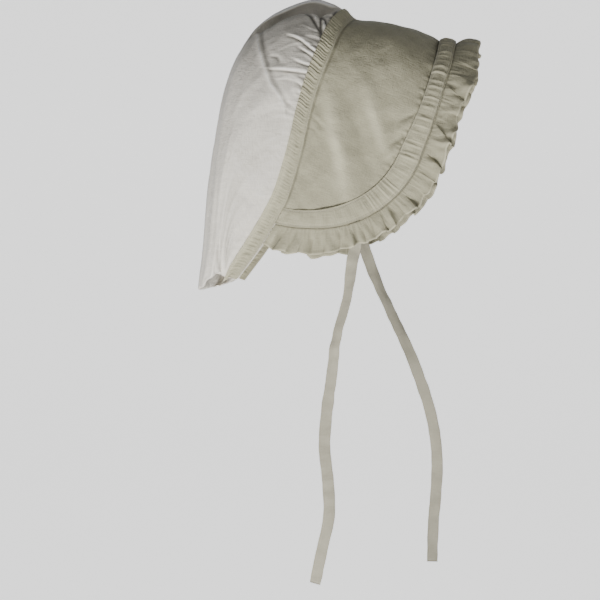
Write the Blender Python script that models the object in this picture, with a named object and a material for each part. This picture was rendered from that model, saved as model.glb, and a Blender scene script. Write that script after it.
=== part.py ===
"""A gathered cotton bonnet: a soft crown, a stiffened brim with a frill, and two long tie tapes.

Sizes are in metres. The cloth is laid out in the head frame: x forward along the brim, y to the
wearer's left, z up, with the head seat at the origin. The head frame is bowed forward by HEAD_BOW,
and the ties hang straight down in the world frame. The wearer's right side is the y < 0 side.
"""

import math
from typing import NamedTuple

import bpy
import numpy as np

# Attitude and seat
HEAD_BOW = math.radians(20)
SEAT_DEPTH = 0.004

# The hoop of the brim seam, which the brim and the crown share
HALF_WIDTH = 0.092
ARCH_HEIGHT = 0.095
ARCH_SQUARENESS = 2.25
SEAM_DROP = 0.310
SIDE_TUCK = 0.023
SIDE_ADVANCE = 0.004
SEAM_SETBACK = 0.026
FREE_HEM_LENGTH = 0.045

# Brim, band and frill, measured along the cloth from the seam
BRIM_DEPTH = 0.101
BAND_WIDTH = 0.0185
FRILL_WIDTH = 0.0265
BRIM_CREST_DRAW = 0.006
BRIM_RISE = 0.012
BRIM_FLARE = 0.008
BRIM_CORNER_BLUNT = 0.008
BAND_LOFT = 0.0022
FRILL_FLARE = 0.012
FRILL_CREST_DRAW = 0.003
FRILL_WAVE = 0.0045
FRILL_WAVES = 48

# Crown
CROWN_DEPTH = 0.107
CROWN_DROP = 0.336
HEM_CORNER_BACK = 0.042
HEM_CORNER_DROP = 0.327
NAPE_HALF_WIDTH = 0.060
NAPE_LIFT = 0.022
TOP_FOLD_HEIGHT = 0.014
SIDE_FOLD_HEIGHT = 0.0045
CREASE_HEIGHT = 0.003
PUCKER_HEIGHT = 0.0012
NAPE_PUCKER_HEIGHT = 0.0010
PUCKERS = 30

# The stitched strip over the crown's gathers
STRIP_WIDTH = 0.0155
STRIP_OVER_BRIM = 0.006
STRIP_END_LIFT = 0.0010

# Cloth thicknesses and the gap between neighbours
CROWN_CLOTH = 0.0012
BRIM_CLOTH = 0.0022
STRIP_CLOTH = 0.0010
BAND_CLOTH = 0.0010
FRILL_CLOTH = 0.0010
GAP = 0.0004
JOINT_GAP = 0.0008
TIE_GAP = 0.0008

# Ties
TIE_WIDTH = 0.0127
TIE_CLOTH = 0.0012
TIE_SEWN_FORWARD = 0.074
TIE_SEWN_DROP = 0.206

# How finely each cloth is divided
CROWN_ROWS = 19
SIDE_COLUMNS = 27
BRIM_ROWS = 5
BAND_ROWS = 3
FRILL_ROWS = 2
STEPS_PER_WAVE = 4
TIE_STEPS = 34


class SeamPoint(NamedTuple):
    """A point of the seam's side view: shares of SEAM_DROP and SEAM_SETBACK."""

    drop: float
    setback: float


SEAM_LINE = (
    SeamPoint(0.00, 0.00),
    SeamPoint(0.06, 0.26),
    SeamPoint(0.15, 0.37),
    SeamPoint(0.28, 0.46),
    SeamPoint(0.39, 0.37),
    SeamPoint(0.49, 0.22),
    SeamPoint(0.60, 0.11),
    SeamPoint(0.69, 0.10),
    SeamPoint(0.76, 0.22),
    SeamPoint(0.86, 0.48),
    SeamPoint(1.00, 0.97),
)


class BrimPoint(NamedTuple):
    """A point of the brim's profile over the crest: shares of FULL_REACH and BRIM_RISE."""

    forward: float
    rise: float


BRIM_CREST = (
    BrimPoint(0.00, 0.00),
    BrimPoint(0.15, 0.40),
    BrimPoint(0.32, 0.85),
    BrimPoint(0.47, 1.02),
    BrimPoint(0.60, 0.90),
    BrimPoint(0.69, 0.82),
    BrimPoint(0.81, 1.15),
    BrimPoint(1.00, 1.30),
)


class Hoop(NamedTuple):
    """A hoop of the crown. It runs from one hem corner over its crest to the other.

    fall is its share of the way from seam to nape, back and drop place its crest as shares of
    CROWN_DEPTH and CROWN_DROP, width is its share of HALF_WIDTH, and arched is the share of its
    height that is curved rather than straight.
    """

    fall: float
    back: float
    drop: float
    width: float
    arched: float


CROWN_HOOPS = (
    Hoop(0.00, 0.050, 0.000, 1.000, 0.32),
    Hoop(0.04, 0.170, -0.018, 1.015, 0.33),
    Hoop(0.10, 0.420, -0.020, 1.045, 0.36),
    Hoop(0.18, 0.690, 0.036, 1.080, 0.42),
    Hoop(0.29, 0.940, 0.143, 1.110, 0.50),
    Hoop(0.44, 1.000, 0.330, 1.120, 0.62),
    Hoop(0.60, 0.915, 0.530, 1.050, 0.74),
    Hoop(0.77, 0.780, 0.725, 0.900, 0.80),
    Hoop(0.90, 0.650, 0.880, 0.750, 0.90),
    Hoop(1.00, 0.560, 1.000, 0.665, 1.00),
)


class FoldPoint(NamedTuple):
    """A point across the crown's top fold: its place, and its shifts as shares of TOP_FOLD_HEIGHT.

    across is a share of the seam hoop's half length, negative on the wearer's right, aside moves
    the cloth towards the wearer's left and lower moves it down.
    """

    across: float
    aside: float
    lower: float


TOP_FOLD = (
    FoldPoint(-0.40, 0.00, 0.00),
    FoldPoint(-0.25, 0.00, 0.45),
    FoldPoint(-0.15, 0.30, 0.95),
    FoldPoint(-0.10, 0.90, 1.15),
    FoldPoint(-0.07, 0.95, 0.85),
    FoldPoint(-0.045, -0.15, 0.28),
    FoldPoint(-0.03, -0.35, 0.02),
    FoldPoint(0.00, -0.20, 0.00),
    FoldPoint(0.05, 0.00, 0.30),
    FoldPoint(0.14, 0.00, 0.70),
    FoldPoint(0.28, 0.00, 0.35),
    FoldPoint(0.40, 0.00, 0.00),
)


class SideFold(NamedTuple):
    """A gather fold that leaves the strip: its place along the seam, width, reach and height.

    place, width and drift are shares of the seam hoop's half length, place is negative on the
    wearer's right, reach is a share of CROWN_DEPTH and height a share of SIDE_FOLD_HEIGHT.
    """

    place: float
    width: float
    reach: float
    drift: float
    height: float


SIDE_FOLDS = (
    SideFold(-0.22, 0.030, 0.70, 0.06, 1.0),
    SideFold(-0.28, 0.026, 0.60, 0.05, -0.9),
    SideFold(-0.34, 0.030, 0.75, 0.04, 1.2),
    SideFold(-0.40, 0.024, 0.45, 0.02, -0.8),
    SideFold(-0.45, 0.030, 0.80, 0.01, 0.9),
    SideFold(-0.52, 0.026, 0.35, 0.00, -0.8),
    SideFold(0.20, 0.032, 0.70, -0.05, 1.0),
    SideFold(0.27, 0.028, 0.60, -0.04, -0.9),
    SideFold(0.34, 0.030, 0.70, -0.03, 1.0),
    SideFold(0.42, 0.028, 0.55, -0.02, -0.7),
    SideFold(0.50, 0.030, 0.60, 0.00, 0.8),
)


class CreasePoint(NamedTuple):
    """A point of the crease across the crown: share of the hoop's half length, and fall."""

    across: float
    fall: float


CREASE = (
    CreasePoint(0.03, 0.30),
    CreasePoint(0.20, 0.27),
    CreasePoint(0.36, 0.22),
    CreasePoint(0.50, 0.13),
)
CREASE_WIDTH = 0.045


class EdgePoint(NamedTuple):
    """How far the brim's edge lines leave their even curve, at a share of the line's length.

    brim, root and frill move the band's inner edge, the frill's root and the frill's edge, as
    shares of BAND_WIDTH, positive away from the seam.
    """

    along: float
    brim: float
    root: float
    frill: float


EDGE_LINES = (
    EdgePoint(0.00, -0.17, -0.18, 0.00),
    EdgePoint(0.10, -0.10, -0.12, 0.06),
    EdgePoint(0.20, 0.16, 0.05, 0.14),
    EdgePoint(0.36, 0.12, 0.00, -0.16),
    EdgePoint(0.50, -0.15, -0.06, -0.22),
    EdgePoint(0.65, -0.32, -0.15, -0.32),
    EdgePoint(0.80, -0.38, -0.19, -0.18),
    EdgePoint(0.92, -0.22, -0.15, 0.05),
    EdgePoint(1.00, -0.05, 0.00, 0.00),
)


class BrimDent(NamedTuple):
    """A soft ridge or dent in the brim: along and forward place its middle, height its size.

    along and width are shares of the seam hoop's half length, and forward and length shares of
    BRIM_DEPTH; height is a share of BRIM_RISE, negative for a dent.
    """

    along: float
    forward: float
    width: float
    length: float
    height: float


BRIM_DENTS = (
    BrimDent(-0.60, 0.42, 0.16, 0.28, 0.24),
    BrimDent(-0.50, 0.72, 0.14, 0.22, -0.20),
    BrimDent(-0.72, 0.75, 0.12, 0.20, 0.16),
    BrimDent(0.58, 0.45, 0.18, 0.30, 0.20),
    BrimDent(0.42, 0.70, 0.16, 0.22, -0.18),
)


class TiePoint(NamedTuple):
    """A point of a tie's route from its sewn end, in metres, with the tape's twist in degrees."""

    forward: float
    left: float
    up: float
    twist: float


RIGHT_TIE = (
    TiePoint(0.0000, 0.000, 0.0000, 6.5),
    TiePoint(0.0007, 0.006, -0.0150, 5),
    TiePoint(0.0009, 0.010, -0.0287, 0),
    TiePoint(-0.0028, 0.010, -0.0459, 10),
    TiePoint(-0.0077, 0.008, -0.0829, 38),
    TiePoint(-0.0200, 0.009, -0.1273, 32),
    TiePoint(-0.0251, 0.012, -0.1692, 20),
    TiePoint(-0.0300, 0.013, -0.2061, 6),
    TiePoint(-0.0325, 0.012, -0.2433, -6),
    TiePoint(-0.0287, 0.010, -0.2803, -4),
    TiePoint(-0.0276, 0.010, -0.3174, 6),
    TiePoint(-0.0351, 0.012, -0.3544, 14),
    TiePoint(-0.0426, 0.016, -0.3911, 20),
)
LEFT_TIE = (
    TiePoint(0.0000, 0.000, 0.0000, -6.5),
    TiePoint(0.0035, -0.006, -0.0150, -5),
    TiePoint(0.0085, -0.010, -0.0320, -6),
    TiePoint(0.0190, -0.010, -0.0600, -24),
    TiePoint(0.0317, -0.008, -0.0880, -34),
    TiePoint(0.0446, -0.007, -0.1160, -28),
    TiePoint(0.0576, -0.008, -0.1445, -14),
    TiePoint(0.0690, -0.009, -0.1740, 0),
    TiePoint(0.0790, -0.010, -0.2040, 8),
    TiePoint(0.0858, -0.011, -0.2360, 8),
    TiePoint(0.0885, -0.011, -0.2690, 2),
    TiePoint(0.0870, -0.010, -0.3030, -8),
    TiePoint(0.0840, -0.010, -0.3370, -16),
    TiePoint(0.0830, -0.012, -0.3790, -22),
)

# Colours as the photo shows them, in linear light
NATURAL_COTTON = (0.62, 0.58, 0.49, 1.0)
CROWN_COTTON = (0.66, 0.63, 0.56, 1.0)
TAPE_COTTON = (0.74, 0.69, 0.56, 1.0)
COTTON_ROUGHNESS = 0.9


def through(places, values, at):
    """A smooth curve through the points of a table: cubic pieces with averaged slopes."""
    places, values, at = (np.asarray(x, float) for x in (places, values, at))
    slopes = np.gradient(values, places)
    at = np.clip(at, places[0], places[-1])
    i = np.clip(np.searchsorted(places, at, side="right") - 1, 0, len(places) - 2)
    span = places[i + 1] - places[i]
    t = (at - places[i]) / span
    start, end = values[i], values[i + 1]
    rise_in, rise_out = slopes[i] * span, slopes[i + 1] * span
    return (
        start * (2 * t**3 - 3 * t**2 + 1)
        + rise_in * (t**3 - 2 * t**2 + t)
        + end * (3 * t**2 - 2 * t**3)
        + rise_out * (t**3 - t**2)
    )


def column(table, name):
    """One named column of a table, as an array."""
    return np.array([getattr(row, name) for row in table], float)


def eased(value, low, high):
    """0 below low, 1 above high, and a smooth step between."""
    t = np.clip((value - low) / (high - low), 0, 1)
    return t * t * (3 - 2 * t)


def hoop_half(half_width, arch_height, straight, tuck, shares):
    """Points (across, down) down one side of a hoop, at shares of its length from the crest.

    The crest is a quarter superellipse, and the straight side below it leans in by tuck.
    """
    angle = np.linspace(0, math.pi / 2, 61)
    power = 2 / ARCH_SQUARENESS
    arch_across = half_width * np.sin(angle) ** power
    arch_down = arch_height * (1 - np.cos(angle) ** power)
    below = np.linspace(0, 1, 31)[1:]
    across = np.concatenate([arch_across, half_width - tuck * below**1.6])
    down = np.concatenate([arch_down, arch_height + straight * below])
    along = np.concatenate([[0], np.cumsum(np.hypot(np.diff(across), np.diff(down)))])
    at = np.abs(shares) * along[-1]
    return np.interp(at, along, across), np.interp(at, along, down), along[-1]


SEAM_HALF_LENGTH = hoop_half(HALF_WIDTH, ARCH_HEIGHT, SEAM_DROP - ARCH_HEIGHT, SIDE_TUCK, np.ones(1))[2]
FULL_REACH = BRIM_DEPTH + BAND_WIDTH + FRILL_WIDTH
BRIM_SEAM_LENGTH = SEAM_HALF_LENGTH - FREE_HEM_LENGTH
CORNER_START = BRIM_SEAM_LENGTH - FULL_REACH


def seam_setback(drop):
    """How far behind the seam's top the seam lies at a drop below it."""
    places = column(SEAM_LINE, "drop") * SEAM_DROP
    return SEAM_SETBACK * through(places, column(SEAM_LINE, "setback"), drop)


def brim_sheet(forward, along):
    """Points of the surface that brim, band and frill follow, in the head frame.

    forward is the distance in front of the seam and along the signed distance from the top of
    the hoop, both measured along the cloth.
    """
    across, down, _ = hoop_half(
        HALF_WIDTH, ARCH_HEIGHT, SEAM_DROP - ARCH_HEIGHT, SIDE_TUCK, along / SEAM_HALF_LENGTH
    )
    ahead = forward / FULL_REACH
    setback = seam_setback(down) * (1 - np.clip(forward / FULL_REACH, 0, 1))
    crest = 1 - eased(down, 0, 1.1 * ARCH_HEIGHT)
    rise = BRIM_RISE * through(column(BRIM_CREST, "forward"), column(BRIM_CREST, "rise"), ahead)
    setback = setback - SIDE_ADVANCE * eased(down, 0, ARCH_HEIGHT) + BRIM_CREST_DRAW * crest * ahead**2
    width = across / HALF_WIDTH * (HALF_WIDTH + BRIM_FLARE * np.clip(forward / BRIM_DEPTH, 0, 1.5))
    bulge = np.zeros_like(forward)
    for dent in BRIM_DENTS:
        side = (along / SEAM_HALF_LENGTH - dent.along) / dent.width
        ahead_of = (forward / BRIM_DEPTH - dent.forward) / dent.length
        bulge = bulge + BRIM_RISE * dent.height * np.exp(-(side**2) - ahead_of**2)
    left = np.sign(along) * (width + bulge * (1 - crest))
    up = SEAT_DEPTH - down + (rise + bulge) * crest
    return np.stack([forward - setback, left, up], axis=-1)


def edge_line(reach, shares):
    """Points (forward, along) of the line that lies reach in front of the seam.

    It runs straight down each side and turns back to the seam round the rounded front corner.
    """
    corner = reach * math.pi / 2
    at = np.abs(shares) * (CORNER_START + corner)
    turn = np.clip(at - CORNER_START, 0, corner) / reach
    lines = (0, BRIM_DEPTH, BRIM_DEPTH + BAND_WIDTH, FULL_REACH)
    for name, near_line in zip(("brim", "root", "frill"), np.eye(4)[1:]):
        moved = through(column(EDGE_LINES, "along"), column(EDGE_LINES, name), np.abs(shares))
        reach = reach + BAND_WIDTH * np.interp(np.max(corner) * 2 / math.pi, lines, near_line) * moved
    return reach * np.cos(turn), np.sign(shares) * (np.minimum(at, CORNER_START) + reach * np.sin(turn))


def normals_of(points):
    """Unit normals of a grid of points, from its two tangents. They point away from the head."""
    down_rows, across_rows = np.gradient(points, axis=(0, 1))
    normals = np.cross(across_rows, down_rows)
    normals /= np.linalg.norm(normals, axis=-1, keepdims=True)
    middle = points.mean(axis=(0, 1))
    return normals if ((points - middle) * normals).sum() > 0 else -normals


def pushed_out(points, distance):
    """The grid moved out from the head by a distance, one number or one for each point."""
    distance = np.broadcast_to(distance, points.shape[:2])
    return points + normals_of(points) * distance[..., None]


def side_shares(count):
    """Signed shares from the right end of a hoop over its top to the left end."""
    return np.linspace(-1, 1, 2 * count + 1)


def brim_grid():
    """The brim's middle surface, from under the strip to under the band's outer edge."""
    shares = side_shares(SIDE_COLUMNS)
    edge_forward, edge_along = edge_line(BRIM_DEPTH + BAND_WIDTH, shares)
    seam_along = shares * (CORNER_START + BRIM_DEPTH + BAND_WIDTH - BRIM_CORNER_BLUNT)
    under_band = BRIM_DEPTH + BAND_WIDTH * np.linspace(0, 1, BAND_ROWS + 1)
    row = np.append(np.linspace(0, BRIM_DEPTH, BRIM_ROWS)[:-1], under_band)[:, None] / under_band[-1]
    forward = np.vstack([np.full_like(shares, -STRIP_OVER_BRIM), edge_forward * row])
    along = np.vstack([seam_along, seam_along + (edge_along - seam_along) * row])
    return brim_sheet(forward, along)


def strip_grid():
    """The strip stitched over the joint, from the brim's edge on to the crown's first gathers."""
    shares = side_shares(SIDE_COLUMNS)
    on_brim = brim_sheet(np.zeros_like(shares), shares * SEAM_HALF_LENGTH)
    falls = np.linspace(0, 1, 81)
    crown = np.array([crown_hoop(fall, shares) for fall in falls])
    steps = np.linalg.norm(np.diff(crown, axis=0), axis=-1)
    from_edge = np.vstack([np.zeros_like(shares), np.cumsum(steps, axis=0)])
    rows = [on_brim, crown[0]]
    for distance in np.linspace(0, STRIP_WIDTH - STRIP_OVER_BRIM, BAND_ROWS)[1:]:
        at = [np.interp(distance, from_edge[:, i], falls) for i in range(len(shares))]
        rows.append(np.array([crown_hoop(fall, shares[i : i + 1])[0] for i, fall in enumerate(at)]))
    lift = BRIM_CLOTH / 2 + GAP + STRIP_CLOTH / 2 + STRIP_END_LIFT * shares**8
    return pushed_out(np.array(rows), lift)


def edge_strip(reaches, shares):
    """A grid over the strip between two or more edge lines, that stops just short of the seam."""
    lines = [edge_line(reach, shares) for reach in reaches]
    forward = np.maximum([line[0] for line in lines], JOINT_GAP)
    return brim_sheet(forward, np.array([line[1] for line in lines]))


def band_grid():
    """The band that covers the frill's root, a lofted strip over the brim's front edge."""
    row = np.linspace(0, 1, BAND_ROWS + 1)
    flat = edge_strip(BRIM_DEPTH + BAND_WIDTH * row, side_shares(SIDE_COLUMNS))
    lift = BRIM_CLOTH / 2 + GAP + BAND_CLOTH / 2
    return pushed_out(flat, lift + BAND_LOFT * np.sin(math.pi * row)[:, None])


def frill_grid():
    """The frill: a strip that flares and waves more the further it is from its root."""
    shares = np.linspace(-1, 1, FRILL_WAVES * STEPS_PER_WAVE + 1)
    row = np.linspace(0, 1, FRILL_ROWS + 1)
    root = BRIM_DEPTH + BAND_WIDTH + 2 * GAP
    flat = edge_strip(root + (FULL_REACH - root) * row, shares)
    row = row[:, None]
    wave = np.sin(math.pi * (FRILL_WAVES * shares + 0.6 * np.sin(9 * shares)))
    crest = 1 - eased(np.abs(shares), 0, 0.30)
    flat[..., 0] -= FRILL_CREST_DRAW * crest * row
    flare = FRILL_FLARE * (0.4 + 0.6 * crest) * row**1.2
    return pushed_out(flat, flare + FRILL_WAVE * wave * row**0.8)


def plain_hoop(fall, shares):
    """A hoop of the crown's table, from hem corner over its crest to hem corner."""
    table = column(CROWN_HOOPS, "fall")
    back, drop, width, arched = (
        through(table, column(CROWN_HOOPS, name), fall) for name in ("back", "drop", "width", "arched")
    )
    crest = np.array([-back * CROWN_DEPTH, -drop * CROWN_DROP])
    seam_end = np.array([-SEAM_SETBACK * SEAM_LINE[-1].setback - STRIP_OVER_BRIM - JOINT_GAP, -SEAM_DROP])
    hem_end = np.array([-HEM_CORNER_BACK - STRIP_OVER_BRIM - JOINT_GAP, -HEM_CORNER_DROP])
    end = seam_end + (hem_end - seam_end) * fall
    height = np.linalg.norm(crest - end)
    half, seam_half = HALF_WIDTH * width, HALF_WIDTH - SIDE_TUCK
    end_half = seam_half + (NAPE_HALF_WIDTH - seam_half) * fall
    across, down, _ = hoop_half(half, height * arched, height * (1 - arched), half - end_half, shares)
    place = crest + (end - crest) * (down / height)[:, None]
    forward = place[:, 0] + SIDE_ADVANCE * eased(down, 0, ARCH_HEIGHT)
    return np.stack([forward, np.sign(shares) * across, place[:, 1] + SEAT_DEPTH], axis=-1)


def crown_hoop(fall, shares):
    """One hoop of the crown. The first lies on the brim's back edge, and the others ease away."""
    brim_edge = brim_sheet(np.full(len(shares), -STRIP_OVER_BRIM - JOINT_GAP), shares * SEAM_HALF_LENGTH)
    to_edge = brim_edge - plain_hoop(0, shares)
    return plain_hoop(fall, shares) + to_edge * (1 - eased(fall, 0, 0.25))


def crown_grid():
    """The crown's middle surface: hoops that fan from the hem corners, then folds and gathers."""
    shares = np.sort(np.concatenate([side_shares(SIDE_COLUMNS), column(TOP_FOLD, "across")[1:-1]]))
    shares = shares[np.concatenate([[True], np.diff(shares) > 0.006])]
    falls = np.linspace(0, 1, CROWN_ROWS + 1) ** 1.25
    return folded(np.array([crown_hoop(fall, shares) for fall in falls]), shares, falls[:, None])


def folded(points, shares, falls):
    """The crown's cloth with its top fold, side folds, crease, puckers and lifted nape hem."""
    from_seam = np.linalg.norm(points - points[:1], axis=-1)
    clear = eased(from_seam, 0.7 * STRIP_WIDTH, 1.6 * STRIP_WIDTH)
    lift = np.zeros_like(from_seam)
    for fold in SIDE_FOLDS:
        reach = np.clip(1 - from_seam / (fold.reach * CROWN_DEPTH), 0, 1)
        middle = fold.place - fold.drift * (1 - reach)
        ridge = np.exp(-(((shares - middle) / fold.width) ** 2))
        lift += SIDE_FOLD_HEIGHT * fold.height * ridge * clear * np.sqrt(reach)
    crease_fall = through(column(CREASE, "across"), column(CREASE, "fall"), np.abs(shares))
    off_crease = (falls - crease_fall) / CREASE_WIDTH
    on_crease = eased(np.abs(shares), 0.02, 0.16) * (1 - eased(np.abs(shares), 0.46, 0.58))
    crease = np.exp(-(off_crease**2)) - 0.7 * np.exp(-((off_crease + 1.7) ** 2))
    lift += CREASE_HEIGHT * on_crease * crease * clear
    gathers = np.sin(math.pi * PUCKERS * shares)
    lift += PUCKER_HEIGHT * gathers * clear * np.exp(-from_seam / CROWN_DEPTH * 3)
    hem_gathers = np.sin(0.4 * math.pi * PUCKERS * shares) * (1 - shares**4)
    lift += NAPE_PUCKER_HEIGHT * hem_gathers * eased(falls, 0.82, 1.0) * clear
    points = pushed_out(points, lift)
    standing = clear * (1 - eased(falls, 0.20, 0.34)) * TOP_FOLD_HEIGHT
    across = column(TOP_FOLD, "across")
    inside = (shares > across[0]) & (shares < across[-1])
    points[..., 1] += standing * inside * through(across, column(TOP_FOLD, "aside"), shares)
    points[..., 2] -= standing * inside * through(across, column(TOP_FOLD, "lower"), shares)
    side = np.sin(math.pi * shares) ** 2 * np.where(shares < 0, 1.0, -0.25)
    points[..., 2] += NAPE_LIFT * side * eased(falls, 0.80, 1.0)
    return points


def cotton(name, colour):
    """A matt cotton material."""
    material = bpy.data.materials.new(name)
    material.use_nodes = True
    shader = material.node_tree.nodes["Principled BSDF"]
    shader.inputs["Base Color"].default_value = colour
    shader.inputs["Roughness"].default_value = COTTON_ROUGHNESS
    shader.inputs["Metallic"].default_value = 0.0
    return material


def cloth_object(name, points, thickness, material, parent=None):
    """A solid cloth made from a grid of points: a Solidify modifier gives it its thickness."""
    rows, columns = points.shape[:2]
    corner = np.arange(rows * columns).reshape(rows, columns)
    faces = np.stack([corner[:-1, :-1], corner[:-1, 1:], corner[1:, 1:], corner[1:, :-1]], axis=-1)
    mesh = bpy.data.meshes.new(name)
    mesh.from_pydata(points.reshape(-1, 3).tolist(), [], faces.reshape(-1, 4).tolist())
    mesh.materials.append(material)
    mesh.shade_smooth()
    cloth = bpy.data.objects.new(name, mesh)
    bpy.context.scene.collection.objects.link(cloth)
    cloth.parent = parent
    solid = cloth.modifiers.new("Cloth thickness", "SOLIDIFY")
    solid.thickness = thickness
    solid.offset = 0
    return cloth


def bowed(point):
    """A point of the head frame in the world frame."""
    x, y, z = point
    return np.array(
        [
            x * math.cos(HEAD_BOW) + z * math.sin(HEAD_BOW),
            y,
            z * math.cos(HEAD_BOW) - x * math.sin(HEAD_BOW),
        ]
    )


def tie_start(side):
    """Where a tie is sewn inside the brim, in the world frame. side is -1 on the right."""
    straight = SEAM_HALF_LENGTH - (SEAM_DROP - TIE_SEWN_DROP)
    seat = brim_sheet(np.array([TIE_SEWN_FORWARD]), np.array([side * straight]))[0]
    seat[1] -= side * (BRIM_CLOTH / 2 + TIE_GAP + TIE_CLOTH / 2)
    return bowed(seat)


def tie_grid(start, route):
    """A tape's two edges along a smooth curve through its route, twisted about its own line."""
    at = np.linspace(0, 1, len(route))
    fine = np.linspace(0, 1, TIE_STEPS + 1)
    line = start + np.stack([through(at, column(route, name), fine) for name in ("forward", "left", "up")], -1)
    twist = np.radians(through(at, column(route, "twist"), fine))
    tangent = np.gradient(line, axis=0)
    tangent /= np.linalg.norm(tangent, axis=1, keepdims=True)
    flat = np.cross(tangent, (0.0, 1.0, 0.0))
    flat /= np.linalg.norm(flat, axis=1, keepdims=True)
    turned = flat * np.cos(twist)[:, None] + np.cross(tangent, flat) * np.sin(twist)[:, None]
    half = turned * TIE_WIDTH / 2
    return np.stack([line - half, line, line + half])


def main():
    """Clears the scene and makes the bonnet's pieces."""
    for leftover in list(bpy.data.objects):
        bpy.data.objects.remove(leftover)
    head = bpy.data.objects.new("head_frame", None)
    head.rotation_euler = (0, HEAD_BOW, 0)
    bpy.context.scene.collection.objects.link(head)
    natural = cotton("natural_cotton", NATURAL_COTTON)
    soft = cotton("crown_cotton", CROWN_COTTON)
    tape = cotton("tape_cotton", TAPE_COTTON)
    cloth_object("crown", crown_grid(), CROWN_CLOTH, soft, head)
    cloth_object("gather_strip", strip_grid(), STRIP_CLOTH, natural, head)
    cloth_object("brim", brim_grid(), BRIM_CLOTH, natural, head)
    cloth_object("brim_band", band_grid(), BAND_CLOTH, natural, head)
    cloth_object("frill", frill_grid(), FRILL_CLOTH, natural, head)
    cloth_object("tie_right", tie_grid(tie_start(-1), RIGHT_TIE), TIE_CLOTH, tape)
    cloth_object("tie_left", tie_grid(tie_start(1), LEFT_TIE), TIE_CLOTH, tape)


main()
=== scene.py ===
"""A gathered cotton bonnet: soft crown, stiffened brim with a banded frill, and two tie tapes.

Sizes are in metres. Cloth is laid out in the upright frame (x forward, y to the left, z up, the
seat at the origin), and the upright frame is bowed forward to give the world frame.
"""

import logging
import math
from dataclasses import dataclass
from enum import Enum
from typing import NamedTuple, Sequence

import bpy
import numpy as np
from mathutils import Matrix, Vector


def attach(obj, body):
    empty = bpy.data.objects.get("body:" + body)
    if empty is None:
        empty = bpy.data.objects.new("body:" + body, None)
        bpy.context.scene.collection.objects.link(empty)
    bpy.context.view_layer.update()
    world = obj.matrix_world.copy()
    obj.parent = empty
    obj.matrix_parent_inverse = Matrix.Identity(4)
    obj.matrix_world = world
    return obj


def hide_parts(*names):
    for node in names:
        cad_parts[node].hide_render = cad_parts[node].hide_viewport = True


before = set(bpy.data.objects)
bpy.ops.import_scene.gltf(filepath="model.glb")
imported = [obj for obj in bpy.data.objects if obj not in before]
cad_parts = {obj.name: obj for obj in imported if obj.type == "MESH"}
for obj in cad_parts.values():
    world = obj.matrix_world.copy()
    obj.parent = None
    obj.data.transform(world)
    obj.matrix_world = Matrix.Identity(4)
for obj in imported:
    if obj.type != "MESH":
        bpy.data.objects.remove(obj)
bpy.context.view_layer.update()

Array = np.ndarray
Socket = bpy.types.NodeSocket
Colour = tuple[float, float, float]
LOG = logging.getLogger("bonnet")

# Samples of a hoop's rounded top, of its straight side, and of the whole of one side.
ARCH_STEPS = 2400
SIDE_STEPS = 1200
HOOP_STEPS = 1800
# A distance longer than any on the bonnet.
FAR = 9.0


class Side(Enum):
    """The side of the bonnet that a piece belongs to: the sign of its y."""

    RIGHT = -1
    LEFT = 1


class Lay(Enum):
    """How unevenly a row of gathers is spread along its seam, as a share of its pitch."""

    FINE = 0.25
    LOOSE = 0.42


class Grain(Enum):
    """What a cloth's threads follow: its own cloth map, or the upright and level directions."""

    CLOTH = "cloth"
    UPRIGHT = "upright"


class SeamPoint(NamedTuple):
    """A point of the seam's side view: shares of the seam's drop and setback."""

    drop: float
    setback: float


SEAM_LINE = (
    SeamPoint(0.00, 0.00),
    SeamPoint(0.06, 0.26),
    SeamPoint(0.15, 0.37),
    SeamPoint(0.28, 0.46),
    SeamPoint(0.39, 0.37),
    SeamPoint(0.49, 0.22),
    SeamPoint(0.60, 0.11),
    SeamPoint(0.69, 0.10),
    SeamPoint(0.76, 0.22),
    SeamPoint(0.86, 0.48),
    SeamPoint(1.00, 0.97),
)


class BrimPoint(NamedTuple):
    """A point of the brim's profile over the crest: shares of its full reach and its rise."""

    forward: float
    rise: float


BRIM_CREST = (
    BrimPoint(0.00, 0.00),
    BrimPoint(0.15, 0.40),
    BrimPoint(0.32, 0.85),
    BrimPoint(0.47, 1.02),
    BrimPoint(0.60, 0.90),
    BrimPoint(0.69, 0.82),
    BrimPoint(0.81, 1.15),
    BrimPoint(1.00, 1.30),
)


class Hoop(NamedTuple):
    """A hoop of the crown: fall from seam to nape, its crest's place, its width and its arch."""

    fall: float
    back: float
    drop: float
    width: float
    arched: float


CROWN_HOOPS = (
    Hoop(0.00, 0.050, 0.000, 1.000, 0.32),
    Hoop(0.04, 0.170, -0.018, 1.015, 0.33),
    Hoop(0.10, 0.420, -0.020, 1.045, 0.36),
    Hoop(0.18, 0.690, 0.036, 1.080, 0.42),
    Hoop(0.29, 0.940, 0.143, 1.110, 0.50),
    Hoop(0.44, 1.000, 0.330, 1.120, 0.62),
    Hoop(0.60, 0.915, 0.530, 1.050, 0.74),
    Hoop(0.77, 0.780, 0.725, 0.900, 0.80),
    Hoop(0.90, 0.650, 0.880, 0.750, 0.90),
    Hoop(1.00, 0.560, 1.000, 0.665, 1.00),
)


class Spacing(NamedTuple):
    """How close together the crown's grid lines are at a place, in relative numbers."""

    place: float
    density: float


CROWN_COLUMNS = (
    Spacing(-1.00, 0.8),
    Spacing(-0.60, 1.0),
    Spacing(-0.52, 2.7),
    Spacing(0.00, 2.7),
    Spacing(0.06, 1.5),
    Spacing(0.50, 1.1),
    Spacing(1.00, 0.6),
)
CROWN_ROWS = (
    Spacing(0.00, 5.0),
    Spacing(0.05, 4.2),
    Spacing(0.12, 2.6),
    Spacing(0.30, 2.3),
    Spacing(0.42, 0.8),
    Spacing(0.94, 0.7),
    Spacing(1.00, 1.6),
)


class FoldPoint(NamedTuple):
    """A point across the crown's top fold: its place, and its shifts as shares of its height."""

    across: float
    aside: float
    lower: float


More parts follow.
